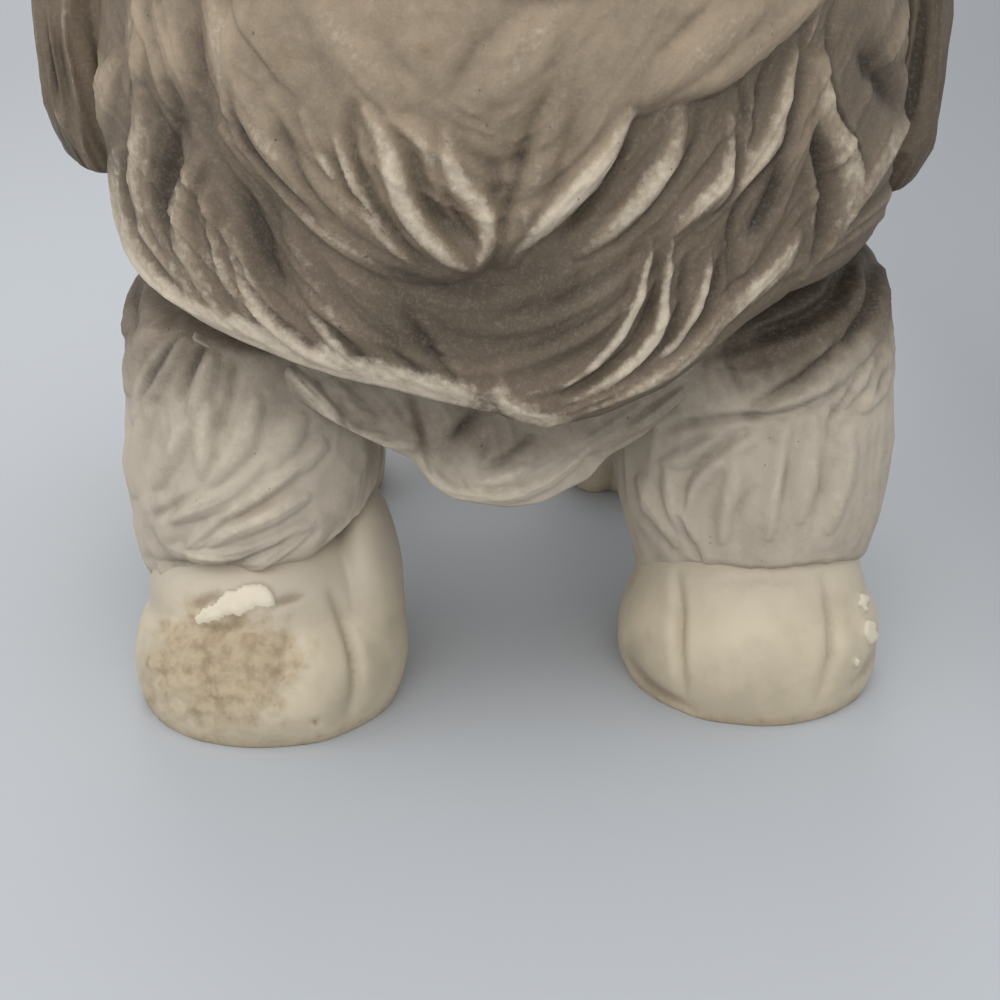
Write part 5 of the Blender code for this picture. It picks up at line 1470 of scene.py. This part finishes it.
def metal(name, colour, dull, looks):
    """Plain stamped metal with fine turning marks and a little tarnish."""
    graph = Graph(name)
    marks, tarnish = graph.noise(5200.0, 2.0), graph.noise(700.0, 4.0)
    tint = graph.mix(tarnish.step(0.40, 0.80), colour, dull)
    return graph.set(Base_Color=tint, Metallic=1.0, Roughness=0.26 + 0.22 * tarnish,
                     Normal=graph.bump(marks, 0.3, 0.5 * looks.grain))


# The add-on

class SqueakToyLooks(bpy.types.PropertyGroup):
    """Values that change how old and how grainy the toy looks."""

    wear: bpy.props.FloatProperty(
        name="Wear", description="How much of the ridges is rubbed pale",
        default=1.0, min=0.0, max=2.0, subtype="FACTOR")
    dirt: bpy.props.FloatProperty(
        name="Dirt", description="Strength of the brown stains",
        default=1.0, min=0.0, max=2.0, subtype="FACTOR")
    grain: bpy.props.FloatProperty(
        name="Grain", description="Depth of the fine grain of the rubber",
        default=0.00025, min=0.0, max=0.002, unit="LENGTH", subtype="DISTANCE")
    floor: bpy.props.FloatVectorProperty(
        name="Floor", description="Colour of the floor",
        default=FLOOR, min=0.0, max=1.0, subtype="COLOR")


def looks_of(context):
    return context.scene.squeak_toy_looks


def finish_named(name, make):
    """A material by name, made once."""
    found = bpy.data.materials.get(name)
    return found if found else make()


def body_rubber_and_shade(looks):
    return finish_named("body_rubber_paint_and_shade", lambda: rubber("body_rubber_paint_and_shade", WARM, looks))


def head_rubber_and_shade(looks):
    return finish_named("head_rubber_paint_and_shade", lambda: rubber("head_rubber_paint_and_shade", TAN, looks))


def require(pieces):
    """Stop with an error if a piece came out empty."""
    for piece in pieces:
        if not piece.data.polygons:
            raise RuntimeError(piece.name + " has no faces")
    return {"FINISHED"}


class SQUEAKTOY_OT_head(bpy.types.Operator):
    """Build the beard, the crown and the nose of the head"""

    bl_idname = "squeak_toy.head"
    bl_label = "Head"

    def execute(self, context):
        looks = looks_of(context)
        rubbery = head_rubber_and_shade(looks)
        pieces = [build_beard(rubbery), build_crown(rubbery), build_nose(nose_rubber(looks))]
        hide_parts("head_shell")
        return require(pieces)


class SQUEAKTOY_OT_fringe(bpy.types.Operator):
    """Build the locks that fall over the eyes"""

    bl_idname = "squeak_toy.fringe"
    bl_label = "Fringe"

    def execute(self, context):
        return require(build_fringe(head_rubber_and_shade(looks_of(context))))


class SQUEAKTOY_OT_ears(bpy.types.Operator):
    """Build the two hanging ears"""

    bl_idname = "squeak_toy.ears"
    bl_label = "Ears"

    def execute(self, context):
        rubbery = head_rubber_and_shade(looks_of(context))
        return require([build_ear(name, rubbery) for name in EARS])


class SQUEAKTOY_OT_body(bpy.types.Operator):
    """Build the torso, the bib and the tail"""

    bl_idname = "squeak_toy.body"
    bl_label = "Body"

    def execute(self, context):
        rubbery = body_rubber_and_shade(looks_of(context))
        pieces = [build_torso(rubbery), build_bib(rubbery), build_tail(rubbery)]
        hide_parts("body_shell")
        return require(pieces)


class SQUEAKTOY_OT_legs(bpy.types.Operator):
    """Build the four legs"""

    bl_idname = "squeak_toy.legs"
    bl_label = "Legs"

    def execute(self, context):
        rubbery = body_rubber_and_shade(looks_of(context))
        return require([
            build_leg("front_right_leg", LEFT_LEG, LEG_HEMS["left"], 1.0, rubbery, 161, True),
            build_leg("front_left_leg", RIGHT_LEG, LEG_HEMS["right"], 1.0, rubbery, 165, True),
            build_leg("hind_right_leg", HIND_LEG, LEG_HEMS["hind"], -1.0, rubbery, 169, False),
            build_leg("hind_left_leg", HIND_LEG, LEG_HEMS["hind"], 1.0, rubbery, 173, False),
        ])


class SQUEAKTOY_OT_paws(bpy.types.Operator):
    """Build the four paws"""

    bl_idname = "squeak_toy.paws"
    bl_label = "Paws"

    def execute(self, context):
        smooth_rubber = paw_rubber(looks_of(context))
        return require([
            build_paw("front_right_paw", LEFT_PAW_PLACE, PAW_LOBES["left"], 1.0, smooth_rubber, True),
            build_paw("front_left_paw", RIGHT_PAW_PLACE, PAW_LOBES["right"], 1.0, smooth_rubber, True),
            build_paw("hind_right_paw", HIND_PAW_PLACE, PAW_LOBES["hind"], -1.0, smooth_rubber, False),
            build_paw("hind_left_paw", HIND_PAW_PLACE, PAW_LOBES["hind"], 1.0, smooth_rubber, False),
        ])


class SQUEAKTOY_OT_squeaker(bpy.types.Operator):
    """Give the squeaker's metal pieces their finish"""

    bl_idname = "squeak_toy.squeaker"
    bl_label = "Squeaker"

    def execute(self, context):
        looks = looks_of(context)
        finishes = {}
        for kind, (colour, dull) in METALS.items():
            finishes[kind] = metal("squeaker_" + kind + "_finish", colour, dull, looks)
        for node, kind in METAL_OF.items():
            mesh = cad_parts[node].data
            mesh.materials.clear()
            mesh.materials.append(finishes[kind])
        return {"FINISHED"}


class SQUEAKTOY_OT_stage(bpy.types.Operator):
    """Make the pale floor, the soft lights and the photograph's camera"""

    bl_idname = "squeak_toy.stage"
    bl_label = "Stage"

    def execute(self, context):
        build_floor(looks_of(context))
        for name in LAMPS:
            add_lamp(context.scene, name)
        add_world(context.scene)
        add_camera(context.scene)
        context.scene.view_settings.view_transform = "Standard"
        return {"FINISHED"}


def add_lamp(scene, name):
    """A square lamp that looks at the middle of the toy."""
    place, size, power, colour = LAMPS[name]
    data = bpy.data.lights.new(name, "AREA")
    data.energy, data.size, data.color = power, size, colour
    lamp = bpy.data.objects.new(name, data)
    scene.collection.objects.link(lamp)
    lamp.location = place
    x, y, z = np.array(LAMP_AIM) - np.array(place)
    lamp.rotation_euler = (math.atan2(math.hypot(x, y), -z), 0.0, math.atan2(x, -y) + math.pi)


def add_world(scene):
    """An even, slightly blue light from all sides."""
    world = bpy.data.worlds.new("studio")
    world.use_nodes = True
    background = world.node_tree.nodes["Background"]
    background.inputs["Color"].default_value = (*WORLD, 1.0)
    background.inputs["Strength"].default_value = 1.0
    scene.world = world


def add_camera(scene):
    """The photograph's camera."""
    camera = bpy.data.cameras.new("photo_camera")
    camera.lens, camera.sensor_width, camera.sensor_fit = CAMERA_LENS, SENSOR, "HORIZONTAL"
    camera.clip_start, camera.clip_end = 0.01, 20.0
    eye = bpy.data.objects.new("photo_camera", camera)
    scene.collection.objects.link(eye)
    eye.location = [c * MM for c in CAMERA_PLACE]
    eye.rotation_euler = (math.radians(CAMERA_TILT), 0.0, math.radians(CAMERA_TURN))
    scene.camera = eye


def build_floor(looks):
    """A broad floor that curves up into a far backdrop.

    Painted shade darkens it far behind the toy and to its right.
    """
    steps = np.linspace(-math.pi / 2.0, 0.0, 24)
    bend = [(BACK_Y + BACK_BEND * math.cos(t), BACK_BEND + BACK_BEND * math.sin(t)) for t in steps]
    profile = [(-BACK_Y, 0.0)] + bend + [(BACK_Y + BACK_BEND, BACK_TOP_Z)]
    points = [(x, y, z) for y, z in profile for x in (-FLOOR_HALF_WIDTH, FLOOR_HALF_WIDTH)]
    faces = [(2 * i, 2 * i + 1, 2 * i + 3, 2 * i + 2) for i in range(len(profile) - 1)]
    mesh = bpy.data.meshes.new("floor")
    mesh.from_pydata(points, [], faces)
    mesh.shade_smooth()
    graph = Graph("floor_finish")
    parts = graph.node("ShaderNodeSeparateXYZ", None, {0: graph.place})
    across, along = Wire(graph, parts.outputs[0]), Wire(graph, parts.outputs[1])
    near = tuple(looks.floor)
    # painted shade: darker far behind the toy, and beside it to its right
    tint = graph.mix(along.step(*FLOOR_FAR), near, scaled(near, FLOOR_FAR_SHARE))
    beside = across.step(*FLOOR_SIDE) * along.step(*FLOOR_NEAR)
    tint = graph.mix(beside * FLOOR_SIDE_SHADE, tint, scaled(near, 0.5))
    mesh.materials.append(graph.set(Base_Color=tint, Roughness=0.6, Specular_IOR_Level=0.2))
    made = bpy.data.objects.new("floor", mesh)
    bpy.context.scene.collection.objects.link(made)


class SQUEAKTOY_PT_looks(bpy.types.Panel):
    """Squeak toy panel in the 3D view's sidebar"""

    bl_label = "Squeak Toy"
    bl_idname = "SQUEAKTOY_PT_looks"
    bl_space_type = "VIEW_3D"
    bl_region_type = "UI"
    bl_category = "Squeak Toy"

    def draw(self, context):
        column = self.layout.column()
        looks = looks_of(context)
        for name in ("wear", "dirt", "grain", "floor"):
            column.prop(looks, name)
        for operator in OPERATORS:
            column.operator(operator.bl_idname)


OPERATORS = (SQUEAKTOY_OT_head, SQUEAKTOY_OT_fringe, SQUEAKTOY_OT_ears, SQUEAKTOY_OT_body,
             SQUEAKTOY_OT_legs, SQUEAKTOY_OT_paws, SQUEAKTOY_OT_squeaker, SQUEAKTOY_OT_stage)
CLASSES = (SqueakToyLooks, *OPERATORS, SQUEAKTOY_PT_looks)


def register():
    for item in CLASSES:
        bpy.utils.register_class(item)
    bpy.types.Scene.squeak_toy_looks = bpy.props.PointerProperty(type=SqueakToyLooks)


def unregister():
    del bpy.types.Scene.squeak_toy_looks
    for item in reversed(CLASSES):
        bpy.utils.unregister_class(item)


def main():
    register()
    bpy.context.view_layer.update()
    bpy.ops.squeak_toy.head()
    bpy.ops.squeak_toy.fringe()
    bpy.ops.squeak_toy.ears()
    bpy.ops.squeak_toy.body()
    bpy.ops.squeak_toy.legs()
    bpy.ops.squeak_toy.paws()
    bpy.ops.squeak_toy.squeaker()
    bpy.ops.squeak_toy.stage()


if __name__ == "__main__":
    main()
